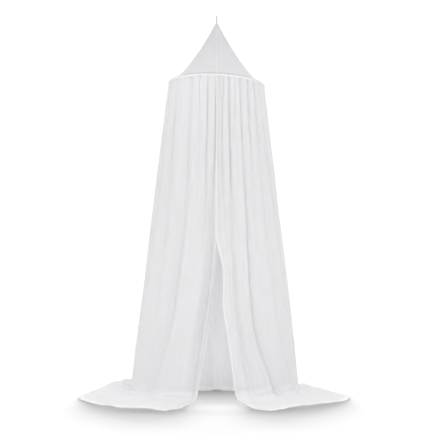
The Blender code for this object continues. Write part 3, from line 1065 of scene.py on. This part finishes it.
        # Only the first and the last strip have an edge, and the others are well away from one
        edge = np.ones(len(across))
        edge[:len(columns[0])], edge[-len(columns[-1]):] = columns[0], 1 - columns[-1]
        bottom, side = [1 - ease(distance, *(wide + step for step in steps))
                        for distance, wide, steps in (
                            (along[-1:] - along, self.hem_width, self.hem_step),
                            (edge[None, :], self.edge_band, self.edge_step))]
        doubled_and_painted_light = np.maximum(bottom, side)
        half = (self.thickness + (self.hem_thickness - self.thickness) * doubled_and_painted_light) / 2
        return points, flat, doubled_and_painted_light, half

    def build(self, material: Material) -> Built:
        """Make the skirt and the paths of its hem stitches.

        Args:
            material: the muslin.

        Returns:
            The skirt, and one path for each row of stitches.
        """
        points, flat, doubled_and_painted_light, half = self.grid()
        item = cloth_mesh("skirt_cloth", points, half, flat, material, marks=doubled_and_painted_light)
        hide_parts("skirt")
        finish_piece(item)
        return item, self.stitch_paths(points, flat, half)

    def stitch_paths(self, points: Array, flat: Array,
                     half: Array) -> list[Array]:
        """Find the rows of stitches beside the hems, on the cloth's outer face.

        Args:
            points: the skirt's middle surface.
            flat: its flat layout.
            half: half of its thickness.

        Returns:
            One path for each row of stitches.
        """
        face = points + facing(points) * half[..., None]
        down = -flat[:, :, 1]
        wanted = down[-1] - self.hem_width + self.stitch_in
        j = np.arange(down.shape[1])
        low = np.array([np.searchsorted(down[:, column], wanted[column]) for column in j])
        upper, lower = down[low - 1, j], down[low, j]
        share = ((wanted - upper) / (lower - upper))[:, None]
        start, end = self.columns()[0], self.columns()[-1]
        near = int(np.argmin(np.abs(start - self.stitch_band)))
        far = len(j) - len(end) + int(np.argmin(np.abs(1 - end - self.stitch_band)))
        return [face[low - 1, j] * (1 - share) + face[low, j] * share, face[1:, near],
                face[1:, far]]


# ---------------------------------------------------------------- crown, casing, hoop and loop


@dataclass(frozen=True)
class Crown:
    """The tent-shaped crown in four gores, with felled seams, a tip of two layers and painted shade
    at its base.
    """

    hang: Hang
    apex_z: float = -0.0420
    tip_radius: float = 0.0050
    neck_radius: float = 0.0042
    terms: tuple[Pair, ...] = ((0.70, 1.0), (0.19, 2.5), (0.11, 24.0))
    middle: float = 0.0010
    thickness: float = 0.0012
    tip_doubled: float = 0.085
    tip_step: float = 0.010
    tip_thicker: float = 0.7
    # Shares of the way down over which painted shade darkens the crown's base, where it meets the
    # casing
    base_painted_shade: Pair = (0.960, 0.992)
    columns: int = 240
    rows: int = 72
    gores: int = 4
    rows_power: float = 1.15
    # How far a point that stands proud rises for each unit outwards
    slant: float = 0.6
    sag: float = 0.0030
    sag_power: float = 1.2
    pucker: float = 0.0006
    # Puckers round the crown, how far they wander in radians, and how many times they do
    pucker_waves: tuple[int, int, int] = (67, 2, 5)
    pucker_fades: float = 0.10
    pucker_starts: float = 0.02
    neck_fades: float = 0.012
    seam_width: float = 0.0080
    seam_most: float = 0.9
    seam_proud: float = 0.0004
    seam_half: float = 0.0004
    seam_ends: Pair = (0.02, 0.985)
    seam_rows: int = 56
    # The seam's section: shares of its width, and of how proud it stands
    seam_across: Numbers = (-0.5, -0.42, -0.2, 0.0, 0.2, 0.42, 0.5)
    seam_dome: Numbers = (0.1, 0.9, 1.0, 1.0, 1.0, 0.9, 0.1)
    stitched_columns: tuple[int, int] = (1, 5)
    stitch_proud: float = 0.0006
    tip_stitches: float = 0.073
    tip_stitch_proud: float = 0.0012
    tip_stitch_steps: int = 97

    def radius(self, t: Array) -> Array:
        """Give the crown's radius at share t of the way down."""
        share = sum(part * t ** power for part, power in self.terms)
        return self.tip_radius + (self.hang.hoop_radius - self.tip_radius) * share

    def place(self, turn: Array, t: Array, proud: float) -> Array:
        """Place points on the crown.

        Args:
            turn: azimuths in radians.
            t: shares of the way down.
            proud: distance outwards from the cloth's middle surface.

        Returns:
            Points, with 3 values last.
        """
        radius = self.radius(t)
        sag = self.sag * np.sin(math.pi * t ** self.sag_power) * np.sin(turn * self.gores / 2) ** 2
        tight = np.exp(-(1 - t) / self.pucker_fades) * (1 - np.exp(-(1 - t) / self.pucker_starts))
        waves, wander, strays = self.pucker_waves
        tight = self.pucker * tight * np.sin(waves * turn + wander * np.sin(strays * turn))
        neck = (self.neck_radius - self.tip_radius) * np.exp(-t / self.neck_fades)
        across = radius - sag + tight + neck + proud
        x = across * np.sin(turn)
        base = self.hang.height(x, self.hang.tube_outer + self.middle)
        z = self.apex_z + t * (base - self.apex_z) + proud * self.slant
        return np.stack(np.broadcast_arrays(x, -across * np.cos(turn), z), -1)

    def build(self, material: Material,
              folded: Material) -> tuple[list[Object], list[Array]]:
        """Make the crown, its felled seams and the paths of their stitches.

        Args:
            material: the crown's cloth.
            folded: the same cloth, several times over in the seams.

        Returns:
            The pieces, the crown first, and one path for each row of stitches.
        """
        turn = np.linspace(0, math.tau, self.columns + 1)[None, :]
        t = (np.linspace(0, 1, self.rows) ** self.rows_power)[:, None]
        points = self.place(turn, t, 0.0)
        points[:, -1] = points[:, 0]
        slope = np.linalg.norm(np.diff(points, axis=0), axis=2).mean(1)
        down = np.concatenate([[0.0], np.cumsum(slope)])[:, None]
        flat = np.stack(np.broadcast_arrays(turn * self.hang.hoop_radius, -down), 2)
        tip = 1 - ease(t, self.tip_doubled - self.tip_step, self.tip_doubled)
        half = np.broadcast_to(self.thickness / 2 * (1 + self.tip_thicker * tip), points.shape[:2])
        # Painted shade along the crown's base, where it meets the casing
        marks = np.broadcast_to(ease(t, *self.base_painted_shade), points.shape[:2])
        crown = cloth_mesh("crown_cloth", points, half, flat, material, closed=True, marks=marks)
        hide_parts("crown")
        finish_piece(crown)
        pieces, paths = [crown], []
        for k, name in enumerate(("front", "right", "back", "left")):
            strip, rows = self.seam(k * math.tau / self.gores, name, folded)
            pieces.append(strip)
            paths += rows
        ring = np.linspace(0, math.tau, self.tip_stitch_steps)
        paths.append(self.place(ring, np.full(len(ring), self.tip_stitches), self.tip_stitch_proud))
        return pieces, paths

    def seam(self, turn: float, name: str,
             material: Material) -> Built:
        """Make one felled seam from the tip down to the hoop.

        Args:
            turn: its azimuth in radians.
            name: which side it is on.
            material: the crown's cloth.

        Returns:
            The seam, and the paths of its two rows of stitches.
        """
        t = np.linspace(*self.seam_ends, self.seam_rows)[:, None]
        radius = self.radius(t)
        offsets = np.array(self.seam_across)[None, :]
        dome = self.seam_proud * np.array(self.seam_dome)[None, :]
        wide = np.minimum(self.seam_width, radius * self.seam_most)
        angles = turn + offsets * wide / radius
        points = self.place(angles, np.broadcast_to(t, angles.shape), 0.0)
        out = np.stack([np.sin(angles), -np.cos(angles), np.full(angles.shape, self.slant)], 2)
        points = points + out * dome[..., None]
        flat = np.stack(np.broadcast_arrays(offsets * self.seam_width, -t * Cut.CROWN.value[1]), 2)
        half = np.full(points.shape[:2], self.seam_half)
        strip = cloth_mesh("crown_seam_" + name, points, half, flat, material)
        finish_piece(strip)
        return strip, [points[:, column] + out[:, column] * self.stitch_proud
                       for column in self.stitched_columns]


@dataclass(frozen=True)
class Casing:
    """The cloth casing round the hoop, puckered along its seam by a node tree."""

    hang: Hang
    around: int = 540
    section: int = 14
    puckers: float = 101.0
    pucker_depth: float = 0.0009
    # Heights over the hoop's middle between which puckers fade upwards, and painted shade darkens the
    # top
    pucker_between: Pair = (0.004, -0.006)
    pucker_least: float = 0.3
    top_painted_shade: Pair = (0.0038, 0.0055)
    stray_scale: float = 34.0
    stray: float = 5.0
    stitch_leans: Pair = (math.radians(-40), math.radians(62))
    stitch_proud: float = 0.0003
    stitch_steps: int = 361

    def tree(self) -> NodeTree:
        """Build the tree that makes the casing's tube, wall and puckers, and give it back."""
        tree, given = start_tree("puckered_casing", (
            "Hoop Radius", "Outer Radius", "Inner Radius", "Puckers", "Pucker Depth", "Tilt",
            "Height"))
        path = add_node(tree, "GeometryNodeCurvePrimitiveCircle", {
            "Resolution": self.around, "Radius": given["Hoop Radius"],
        }).outputs["Curve"]
        walls = []
        for name in ("Outer Radius", "Inner Radius"):
            round_ = add_node(tree, "GeometryNodeCurvePrimitiveCircle", {
                "Resolution": self.section, "Radius": given[name],
            }).outputs["Curve"]
            walls.append(add_node(tree, "GeometryNodeCurveToMesh", {
                "Curve": path, "Profile Curve": round_,
            }).outputs["Mesh"])
        place = add_node(tree, "ShaderNodeSeparateXYZ", {
            "Vector": add_node(tree, "GeometryNodeInputPosition").outputs["Position"],
        }).outputs
        turn = add_node(tree, "ShaderNodeMath", {0: place["X"], 1: place["Y"]},
                        operation="ARCTAN2").outputs["Value"]
        waves = add_node(tree, "ShaderNodeMath", {0: turn, 1: given["Puckers"]},
                         operation="MULTIPLY").outputs["Value"]
        noise = add_node(tree, "ShaderNodeTexNoise", {
            "Scale": self.stray_scale, "Detail": 2.0, "W": 1.0,
        }, noise_dimensions="4D").outputs["Fac"]
        stray = add_node(tree, "ShaderNodeMath", {0: noise, 1: self.stray},
                         operation="MULTIPLY").outputs["Value"]
        phase = add_node(tree, "ShaderNodeMath", {0: waves, 1: stray},
                         operation="ADD").outputs["Value"]
        wave = add_node(tree, "ShaderNodeMath", {0: phase}, operation="SINE").outputs["Value"]
        # The puckers are deepest underneath, where the gathers are sewn in
        low = add_node(tree, "ShaderNodeMapRange", {
            "Value": place["Z"], "From Min": self.pucker_between[0],
            "From Max": self.pucker_between[1], "To Min": self.pucker_least,
        }).outputs["Result"]
        depth = add_node(tree, "ShaderNodeMath", {0: given["Pucker Depth"], 1: low},
                         operation="MULTIPLY").outputs["Value"]
        height = add_node(tree, "ShaderNodeMath", {0: wave, 1: depth},
                          operation="MULTIPLY").outputs["Value"]
        normal = add_node(tree, "GeometryNodeInputNormal").outputs["Normal"]
        offset = add_node(tree, "ShaderNodeVectorMath", {0: normal, "Scale": height},
                          operation="SCALE").outputs["Vector"]
        outer = add_node(tree, "GeometryNodeSetPosition", {
            "Geometry": walls[0], "Offset": offset,
        }).outputs["Geometry"]
        inner = add_node(tree, "GeometryNodeFlipFaces", {"Mesh": walls[1]}).outputs["Mesh"]
        # Painted shade darkens the top, along the line where crown and casing meet
        seam = add_node(tree, "ShaderNodeMapRange", {
            "Value": place["Z"], "From Min": self.top_painted_shade[0],
            "From Max": self.top_painted_shade[1],
        }).outputs["Result"]
        outer = add_node(tree, "GeometryNodeStoreNamedAttribute", {
            "Geometry": outer, "Name": "doubled_and_painted_light", "Value": seam,
        }, data_type="FLOAT", domain="POINT").outputs["Geometry"]
        both = add_node(tree, "GeometryNodeJoinGeometry")
        tree.links.new(outer, both.inputs["Geometry"])
        tree.links.new(inner, both.inputs["Geometry"])
        turned = add_node(tree, "ShaderNodeCombineXYZ", {"Y": given["Tilt"]}).outputs["Vector"]
        lifted = add_node(tree, "ShaderNodeCombineXYZ", {"Z": given["Height"]}).outputs["Vector"]
        hung = add_node(tree, "GeometryNodeTransform", {
            "Geometry": both.outputs["Geometry"], "Translation": lifted, "Rotation": turned,
        }).outputs["Geometry"]
        return end_tree(tree, hung, given["Material"])

    def build(self, material: Material) -> Built:
        """Make the casing and the paths of its stitches.

        Args:
            material: the casing's cloth.

        Returns:
            The casing, and one path for each row of stitches.
        """
        item = grown_piece("hoop_casing_cloth", bpy.data.meshes.new("casing_start"), self.tree(), {
            "Hoop Radius": self.hang.hoop_radius,
            "Outer Radius": self.hang.tube_outer - 0.5 * self.pucker_depth,
            "Inner Radius": self.hang.tube_inner, "Puckers": self.puckers,
            "Pucker Depth": self.pucker_depth, "Tilt": self.hang.tilt,
            "Height": self.hang.hoop_z, "Material": material,
        })
        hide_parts("hoop_casing")
        turn = np.linspace(0, math.tau, self.stitch_steps)
        reach = self.hang.tube_outer + self.stitch_proud
        tilt = np.array(Matrix.Rotation(self.hang.tilt, 3, "Y"))
        paths = []
        for lean in self.stitch_leans:
            radius = self.hang.hoop_radius + reach * math.cos(lean)
            level = np.stack([radius * np.sin(turn), -radius * np.cos(turn),
                              np.full(len(turn), reach * math.sin(lean))], 1)
            paths.append(level @ tilt.T + np.array([0, 0, self.hang.hoop_z]))
        return item, paths


@dataclass(frozen=True)
class Hoop:
    """The round rod inside the casing, which keeps its own shape and gets its finish."""

    def dress(self, material: Material) -> None:
        """Give the rod its material."""
        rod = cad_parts["hoop"]
        rod.data.materials.clear()
        rod.data.materials.append(material)
        log.info("hoop: dressed")


@dataclass(frozen=True)
class HangingLoop:
    """The tape loop: an eye over the hook, its two ends sewn together into the crown's tip."""

    width: float = 0.0070
    thickness: float = 0.0012
    eye_width: float = 0.0062
    eye_length: float = 0.0340
    eye_shoulder: float = 0.55
    eye_foot: float = 0.004
    tail_z: float = -0.0560
    steps: int = 14
    # The eye narrows to its foot: each point's share of the eye's half width and of its length,
    # and how far the two tapes stand apart there, in halves of their thickness
    narrowing: tuple[Triple, ...] = ((0.0, 1.0, 1.3), (0.55, 0.72, 1.0))
    fine_step: float = 0.0022
    edges: Numbers = (0.35, 0.85, 1.0, 1.0, 1.0, 0.85, 0.35)
    tack_half: float = 0.0026
    tack_proud: float = 0.0002
    tack_ends: Pair = (-0.0350, -0.0405)

    def centre_line(self) -> Array:
        """Follow the tape's middle from one tail, round the eye and down to the other."""
        half, grow = self.eye_width / 2, self.thickness / 2
        centre = -half
        arc = [(-(half + grow) * math.cos(math.pi * i / self.steps),
                centre + (half + grow) * math.sin(math.pi * i / self.steps))
               for i in range(self.steps + 1)]
        leg = [(grow, self.tail_z), (grow, -self.eye_length - self.eye_foot)]
        leg += [(half * wide + grow * apart, -long * self.eye_length)
                for wide, long, apart in self.narrowing]
        leg.append((half + grow, centre - self.eye_shoulder * self.eye_length))
        left = [(-x, z) for x, z in leg]
        corners = left + arc + leg[::-1]
        fine = []
        for (x0, z0), (x1, z1) in zip(corners, corners[1:]):
            pieces = max(1, round(math.hypot(x1 - x0, z1 - z0) / self.fine_step))
            fine += [(x0 + (x1 - x0) * k / pieces, z0 + (z1 - z0) * k / pieces)
                     for k in range(pieces)]
        return np.array(fine + [corners[-1]])

    def build(self, material: Material) -> Built:
        """Make the tape and the paths of its tack stitches.

        Args:
            material: the tape's material.

        Returns:
            The loop, and one path for each row of stitches.
        """
        line = self.centre_line()
        across = np.linspace(-0.5, 0.5, len(self.edges))[:, None] * self.width
        points = np.stack(np.broadcast_arrays(across, line[:, 0], line[:, 1]), 2)
        flat = np.stack(np.broadcast_arrays(across, lengths_along(line)[None, :]), 2)
        half = np.broadcast_to(np.array(self.edges)[:, None] * self.thickness / 2,
                               points.shape[:2])
        item = cloth_mesh("hanging_loop_tape", points, half, flat, material)
        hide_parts("hanging_loop")
        finish_piece(item)
        front = self.thickness + self.tack_proud
        # A box tack on each face: a bar at either end, and a cross between them
        ends = [(z, z, side) for z in self.tack_ends for side in (-1, 1)]
        ends += [(z, sum(self.tack_ends) - z, side) for side in (-1, 1) for z in self.tack_ends]
        return item, [np.array([(-self.tack_half, side * front, first),
                                (self.tack_half, side * front, last)])
                      for first, last, side in ends]


# ---------------------------------------------------------------- studio


def aimed(place: Triple, aim: Triple) -> Vector:
    """Give the direction from a place to what is aimed at."""
    return Vector(aim) - Vector(place)


def add_lamp(name: str, kind: str, power: float, place: Triple,
             towards: Vector, **settings: object) -> Object:
    """Add a lamp that the camera can't see.

    Args:
        name: the lamp's name.
        kind: the lamp's type.
        power: its power in watts, or a sun's strength.
        place: where it stands.
        towards: the direction in which it shines.
        **settings: properties of the lamp itself.

    Returns:
        The lamp.
    """
    data = bpy.data.lights.new(name, kind)
    data.energy = power
    for key, value in settings.items():
        setattr(data, key, value)
    item = place_item(name, data)
    item.location = place
    item.rotation_euler = towards.to_track_quat("-Z", "Y").to_euler()
    item.visible_camera = False
    return item


def linked(name: str, item: Object, left_out: bool = False) -> Collection:
    """Name one object for lamps to be linked to, or to leave out, and give its collection."""
    made = bpy.data.collections.new(name)
    made.objects.link(item)
    if left_out:
        made.collection_objects[0].light_linking.link_state = "EXCLUDE"
    return made


@dataclass(frozen=True)
class Lamp:
    """One soft lamp: where it stands, how large it is and how bright."""

    name: str
    place: Triple
    size: float
    power: float


@dataclass(frozen=True)
class FloorLight:
    """A low light that reaches the floor alone.

    turn is from straight behind, rise is above the floor and spread is its width, all in degrees.
    """

    name: str
    turn: float
    rise: float
    spread: float
    strength: float

    def towards(self) -> Vector:
        """Give the direction in which it shines."""
        turn, rise = math.radians(self.turn), math.radians(self.rise)
        return Vector((-math.sin(turn) * math.cos(rise), -math.cos(turn) * math.cos(rise),
                       -math.sin(rise)))


@dataclass(frozen=True)
class ShadowCards:
    """Upright cards along the hem that hold the low lights off the floor, tall at the opening."""

    azimuths: Numbers = (17.0, 62.0, 92.0, 112.0, 150.0, 166.0, 180.0)
    heights: Numbers = (0.270, 0.136, 0.010, 0.060, 0.060, 0.225, 0.225)
    lowest: float = 0.004
    inset: float = 0.008
    behind: float = 0.010
    side_from: float = 0.89
    side_steps: int = 8

    def mesh(self, floor_z: float, hem: Array) -> Mesh:
        """Stand the cards on the floor along the hem.

        Args:
            floor_z: height of the floor.
            hem: the hem's points, from the right slit edge round the back to the left.

        Returns:
            The cards, one strip from one front corner round the back to the other.
        """
        sides = np.linspace(self.side_from, 1.0, self.side_steps)
        share = np.concatenate([sides, np.ones(len(hem)), sides[::-1]])
        turn, reach = [np.pad(each, self.side_steps, mode="edge") for each in (
            np.degrees(np.arctan2(hem[:, 0], -hem[:, 1])) % 360, np.hypot(hem[:, 0], hem[:, 1]))]
        ahead = np.cos(np.radians(turn))
        radius = share * (reach - np.where(ahead > 0, self.inset, self.behind) * ahead)
        x, y = radius * np.sin(np.radians(turn)), -radius * ahead
        tall = smooth_through(self.azimuths, self.heights, np.minimum(turn, 360 - turn))
        low = np.stack([x, y, np.full(len(x), floor_z)], 1)
        high = np.stack([x, y, floor_z + np.maximum(tall, self.lowest)], 1)
        count = len(turn)
        mesh = bpy.data.meshes.new("shadow_cards")
        mesh.from_pydata(np.concatenate([low, high]).tolist(), [],
                         [(k, k + 1, count + k + 1, count + k) for k in range(count - 1)])
        return mesh


@dataclass(frozen=True)
class Studio:
    """A white sweep, soft light and the camera at the photograph's angle."""

    hang: Hang
    camera_place: Triple = (0.018, -5.17, -1.495)
    pitch: float = math.radians(94.6)
    lens: float = 81.82
    sensor: float = 36.0
    sky: float = 0.53
    backdrop: float = 1.08
    zenith: float = 1.54
    floor_size: float = 14.0
    floor_white: str = "#9D9D9D"
    key: Lamp = Lamp("key", (0.3, -5.0, -0.6), 1.6, 27.0)
    key_aim: Triple = (0.0, 0.0, -1.15)
    foot_spot: Lamp = Lamp("foot", (-0.7, -4.3, -1.55), 0.5, 24.0)
    foot_spread: float = math.radians(34.0)
    foot_aim: Triple = (-0.2, -0.2, -1.94)
    inside_top: Lamp = Lamp("inside_top", (0.0, 0.0, -0.46), 0.10, 0.85)
    inside_strips: tuple[Lamp, ...] = (
        Lamp("inside_strip", (0.0, -0.05, -1.50), 0.96, 0.86),
        Lamp("inside_foot", (0.0, -0.05, -1.945), 0.09, 0.52),
    )
    strip_wide: float = 0.10
    near_floor: tuple[Lamp, ...] = (
        Lamp("inside_floor", (0.0, 0.04, -1.22), 0.20, 4.2),
        Lamp("front_floor", (-0.02, -0.78, -1.68), 0.15, 0.25),
    )
    floor_lights: tuple[FloorLight, ...] = (
        FloorLight("floor_low", 0.0, 9.7, 36.0, 11.4), FloorLight("floor_high", 0.0, 16.2, 79.0, 9.3),
        FloorLight("floor_right", 67.0, 13.0, 60.0, 2.6),
        FloorLight("floor_left", -67.0, 13.0, 60.0, 3.15),
    )
    cards: ShadowCards = ShadowCards()

    def world(self) -> None:
        """Light the scene from all round, with a plain white backdrop for the camera."""
        world = bpy.data.worlds.new("soft_white")
        bpy.context.scene.world = world
        world.use_nodes = True
        # Even light needs no aimed samples, and without them the shadow cards cannot dim it
        world.cycles.sampling_method = "NONE"
        tree = world.node_tree
        tree.nodes.clear()
        rise = add_node(tree, "ShaderNodeSeparateXYZ", {
            "Vector": add_node(tree, "ShaderNodeTexCoord").outputs["Generated"],
        }).outputs["Z"]
        bright = add_node(tree, "ShaderNodeMapRange", {
            "Value": rise, "To Min": self.sky, "To Max": self.zenith,
        }).outputs["Result"]
        soft, seen = [add_node(tree, "ShaderNodeBackground", {
            "Color": (1, 1, 1, 1), "Strength": strength,
        }).outputs[0] for strength in (bright, self.backdrop)]
        ray = add_node(tree, "ShaderNodeLightPath").outputs["Is Camera Ray"]
        mixed = add_node(tree, "ShaderNodeMixShader", {"Fac": ray, 1: soft, 2: seen})
        add_node(tree, "ShaderNodeOutputWorld", {"Surface": mixed.outputs[0]})

    def floor(self) -> Object:
        """Lay the white floor and give it back."""
        mesh = bpy.data.meshes.new("floor")
        corners = [(x * self.floor_size, y * self.floor_size, self.hang.floor_z)
                   for x, y in ((-1, -1), (1, -1), (1, 1), (-1, 1))]
        mesh.from_pydata(corners, [], [(0, 1, 2, 3)])
        item = place_item("floor", mesh)
        made = bpy.data.materials.new("white_sweep_board")
        made.use_nodes = True
        matt = made.node_tree.nodes["Principled BSDF"].inputs
        for name, value in (("Base Color", linear(self.floor_white)), ("Roughness", 0.9),
                            ("Specular IOR Level", 0.0)):
            matt[name].default_value = value
        mesh.materials.append(made)
        return item

    def light(self) -> list[Object]:
        """Set the lamps in front, one turned to the canopy's middle and one to its foot."""
        key, foot = self.key, self.foot_spot
        return [
            add_lamp(key.name, "AREA", key.power, key.place, aimed(key.place, self.key_aim),
                     size=key.size),
            add_lamp(foot.name, "SPOT", foot.power, foot.place, aimed(foot.place, self.foot_aim),
                     shadow_soft_size=foot.size, spot_size=self.foot_spread, spot_blend=1.0),
        ]

    def light_inside(self, floor: Object) -> list[Object]:
        """Set soft lamps inside, which stand for the light that gets in all round.

        Args:
            floor: the floor, which gets none of their light.

        Returns:
            A ball under the crown, and upright strips that face the back wall.
        """
        top, back = self.inside_top, Vector((0.0, 1.0, 0.0))
        made = [add_lamp(top.name, "POINT", top.power, top.place, back,
                         shadow_soft_size=top.size)]
        made += [add_lamp(strip.name, "AREA", strip.power, strip.place, back,
                          shape="RECTANGLE", size=self.strip_wide, size_y=strip.size)
                 for strip in self.inside_strips]
        walls = linked("floor_left_out", floor, left_out=True)
        for item in made:
            item.light_linking.receiver_collection = walls
        return made

    def light_floor(self, floor: Object, others: list[Object]) -> None:
        """Light the floor from low behind, with cards along the hem that give its shadow.

        Args:
            floor: the floor, which alone gets these lights.
            others: every other lamp, which the cards let by.
        """
        hem = Skirt(self.hang).grid()[0][-1]
        cards = place_item("shadow_cards", self.cards.mesh(self.hang.floor_z, hem))
        for ray in ("camera", "diffuse", "glossy", "transmission", "volume_scatter"):
            setattr(cards, "visible_" + ray, False)
        near = [add_lamp(lamp.name, "AREA", lamp.power, lamp.place, Vector((0.0, 0.0, -1.0)),
                         shape="DISK", size=lamp.size) for lamp in self.near_floor]
        suns = [add_lamp(light.name, "SUN", light.strength, (0.0, 0.0, 0.0), light.towards(),
                         angle=math.radians(light.spread)) for light in self.floor_lights]
        lit = linked("floor_alone", floor)
        for item in near + suns:
            item.light_linking.receiver_collection = lit
        held = linked("cards_alone", cards)
        passed = linked("cards_left_out", cards, left_out=True)
        for item in others + near + suns:
            item.light_linking.blocker_collection = held if item in suns else passed

    def camera(self) -> None:
        """Set the camera where the photograph was taken."""
        data = bpy.data.cameras.new("camera")
        data.lens, data.sensor_width, data.sensor_fit = self.lens, self.sensor, "HORIZONTAL"
        item = place_item("camera", data)
        item.location = self.camera_place
        item.rotation_euler = (self.pitch, 0.0, 0.0)
        bpy.context.scene.camera = item

    def build(self) -> None:
        """Set up the whole studio."""
        self.world()
        floor = self.floor()
        lamps = self.light() + self.light_inside(floor)
        self.light_floor(floor, lamps)
        self.camera()
        bpy.context.scene.view_settings.view_transform = "Standard"
        log.info("studio: %d lamps", len(lamps) + len(self.near_floor) + len(self.floor_lights))


def main() -> None:
    """Build the canopy piece by piece and dress it."""
    logging.basicConfig(level=logging.INFO, format="%(name)s %(message)s")
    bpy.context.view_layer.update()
    hang = Hang()
    Studio(hang).build()
    muslin = Muslin().material()
    # The crown's tone is a shade greyer than the other cloths': painted shade
    crown_cloth = Batiste("cotton_batiste", "#E7E7E8", "#E3E3E4").material()
    seam_cloth = Batiste("cotton_seam", "#F3F3F4", "#F0F0F1").material()
    casing_cloth = Batiste("cotton_casing", "#F7F7F8", "#F3F3F4", light_through=0.08).material()
    thread = CottonThread().material()
    stitching = Stitching()
    tree = stitching.tree()

    skirt, hem_rows = Skirt(hang).build(muslin)
    hem_stitches = stitching.sew("hem_stitches", hem_rows, tree, thread)

    crown_pieces, crown_rows = Crown(hang).build(crown_cloth, seam_cloth)
    loop, loop_rows = HangingLoop().build(CottonTape().material())
    crown_stitches = stitching.sew("crown_stitches", crown_rows, tree, thread)
    loop_stitches = stitching.sew("loop_stitches", loop_rows, tree, thread)

    casing, casing_rows = Casing(hang).build(casing_cloth)
    casing_stitches = stitching.sew("casing_stitches", casing_rows, tree, thread)

    Hoop().dress(HoopPlastic().material())


if __name__ == "__main__":
    main()
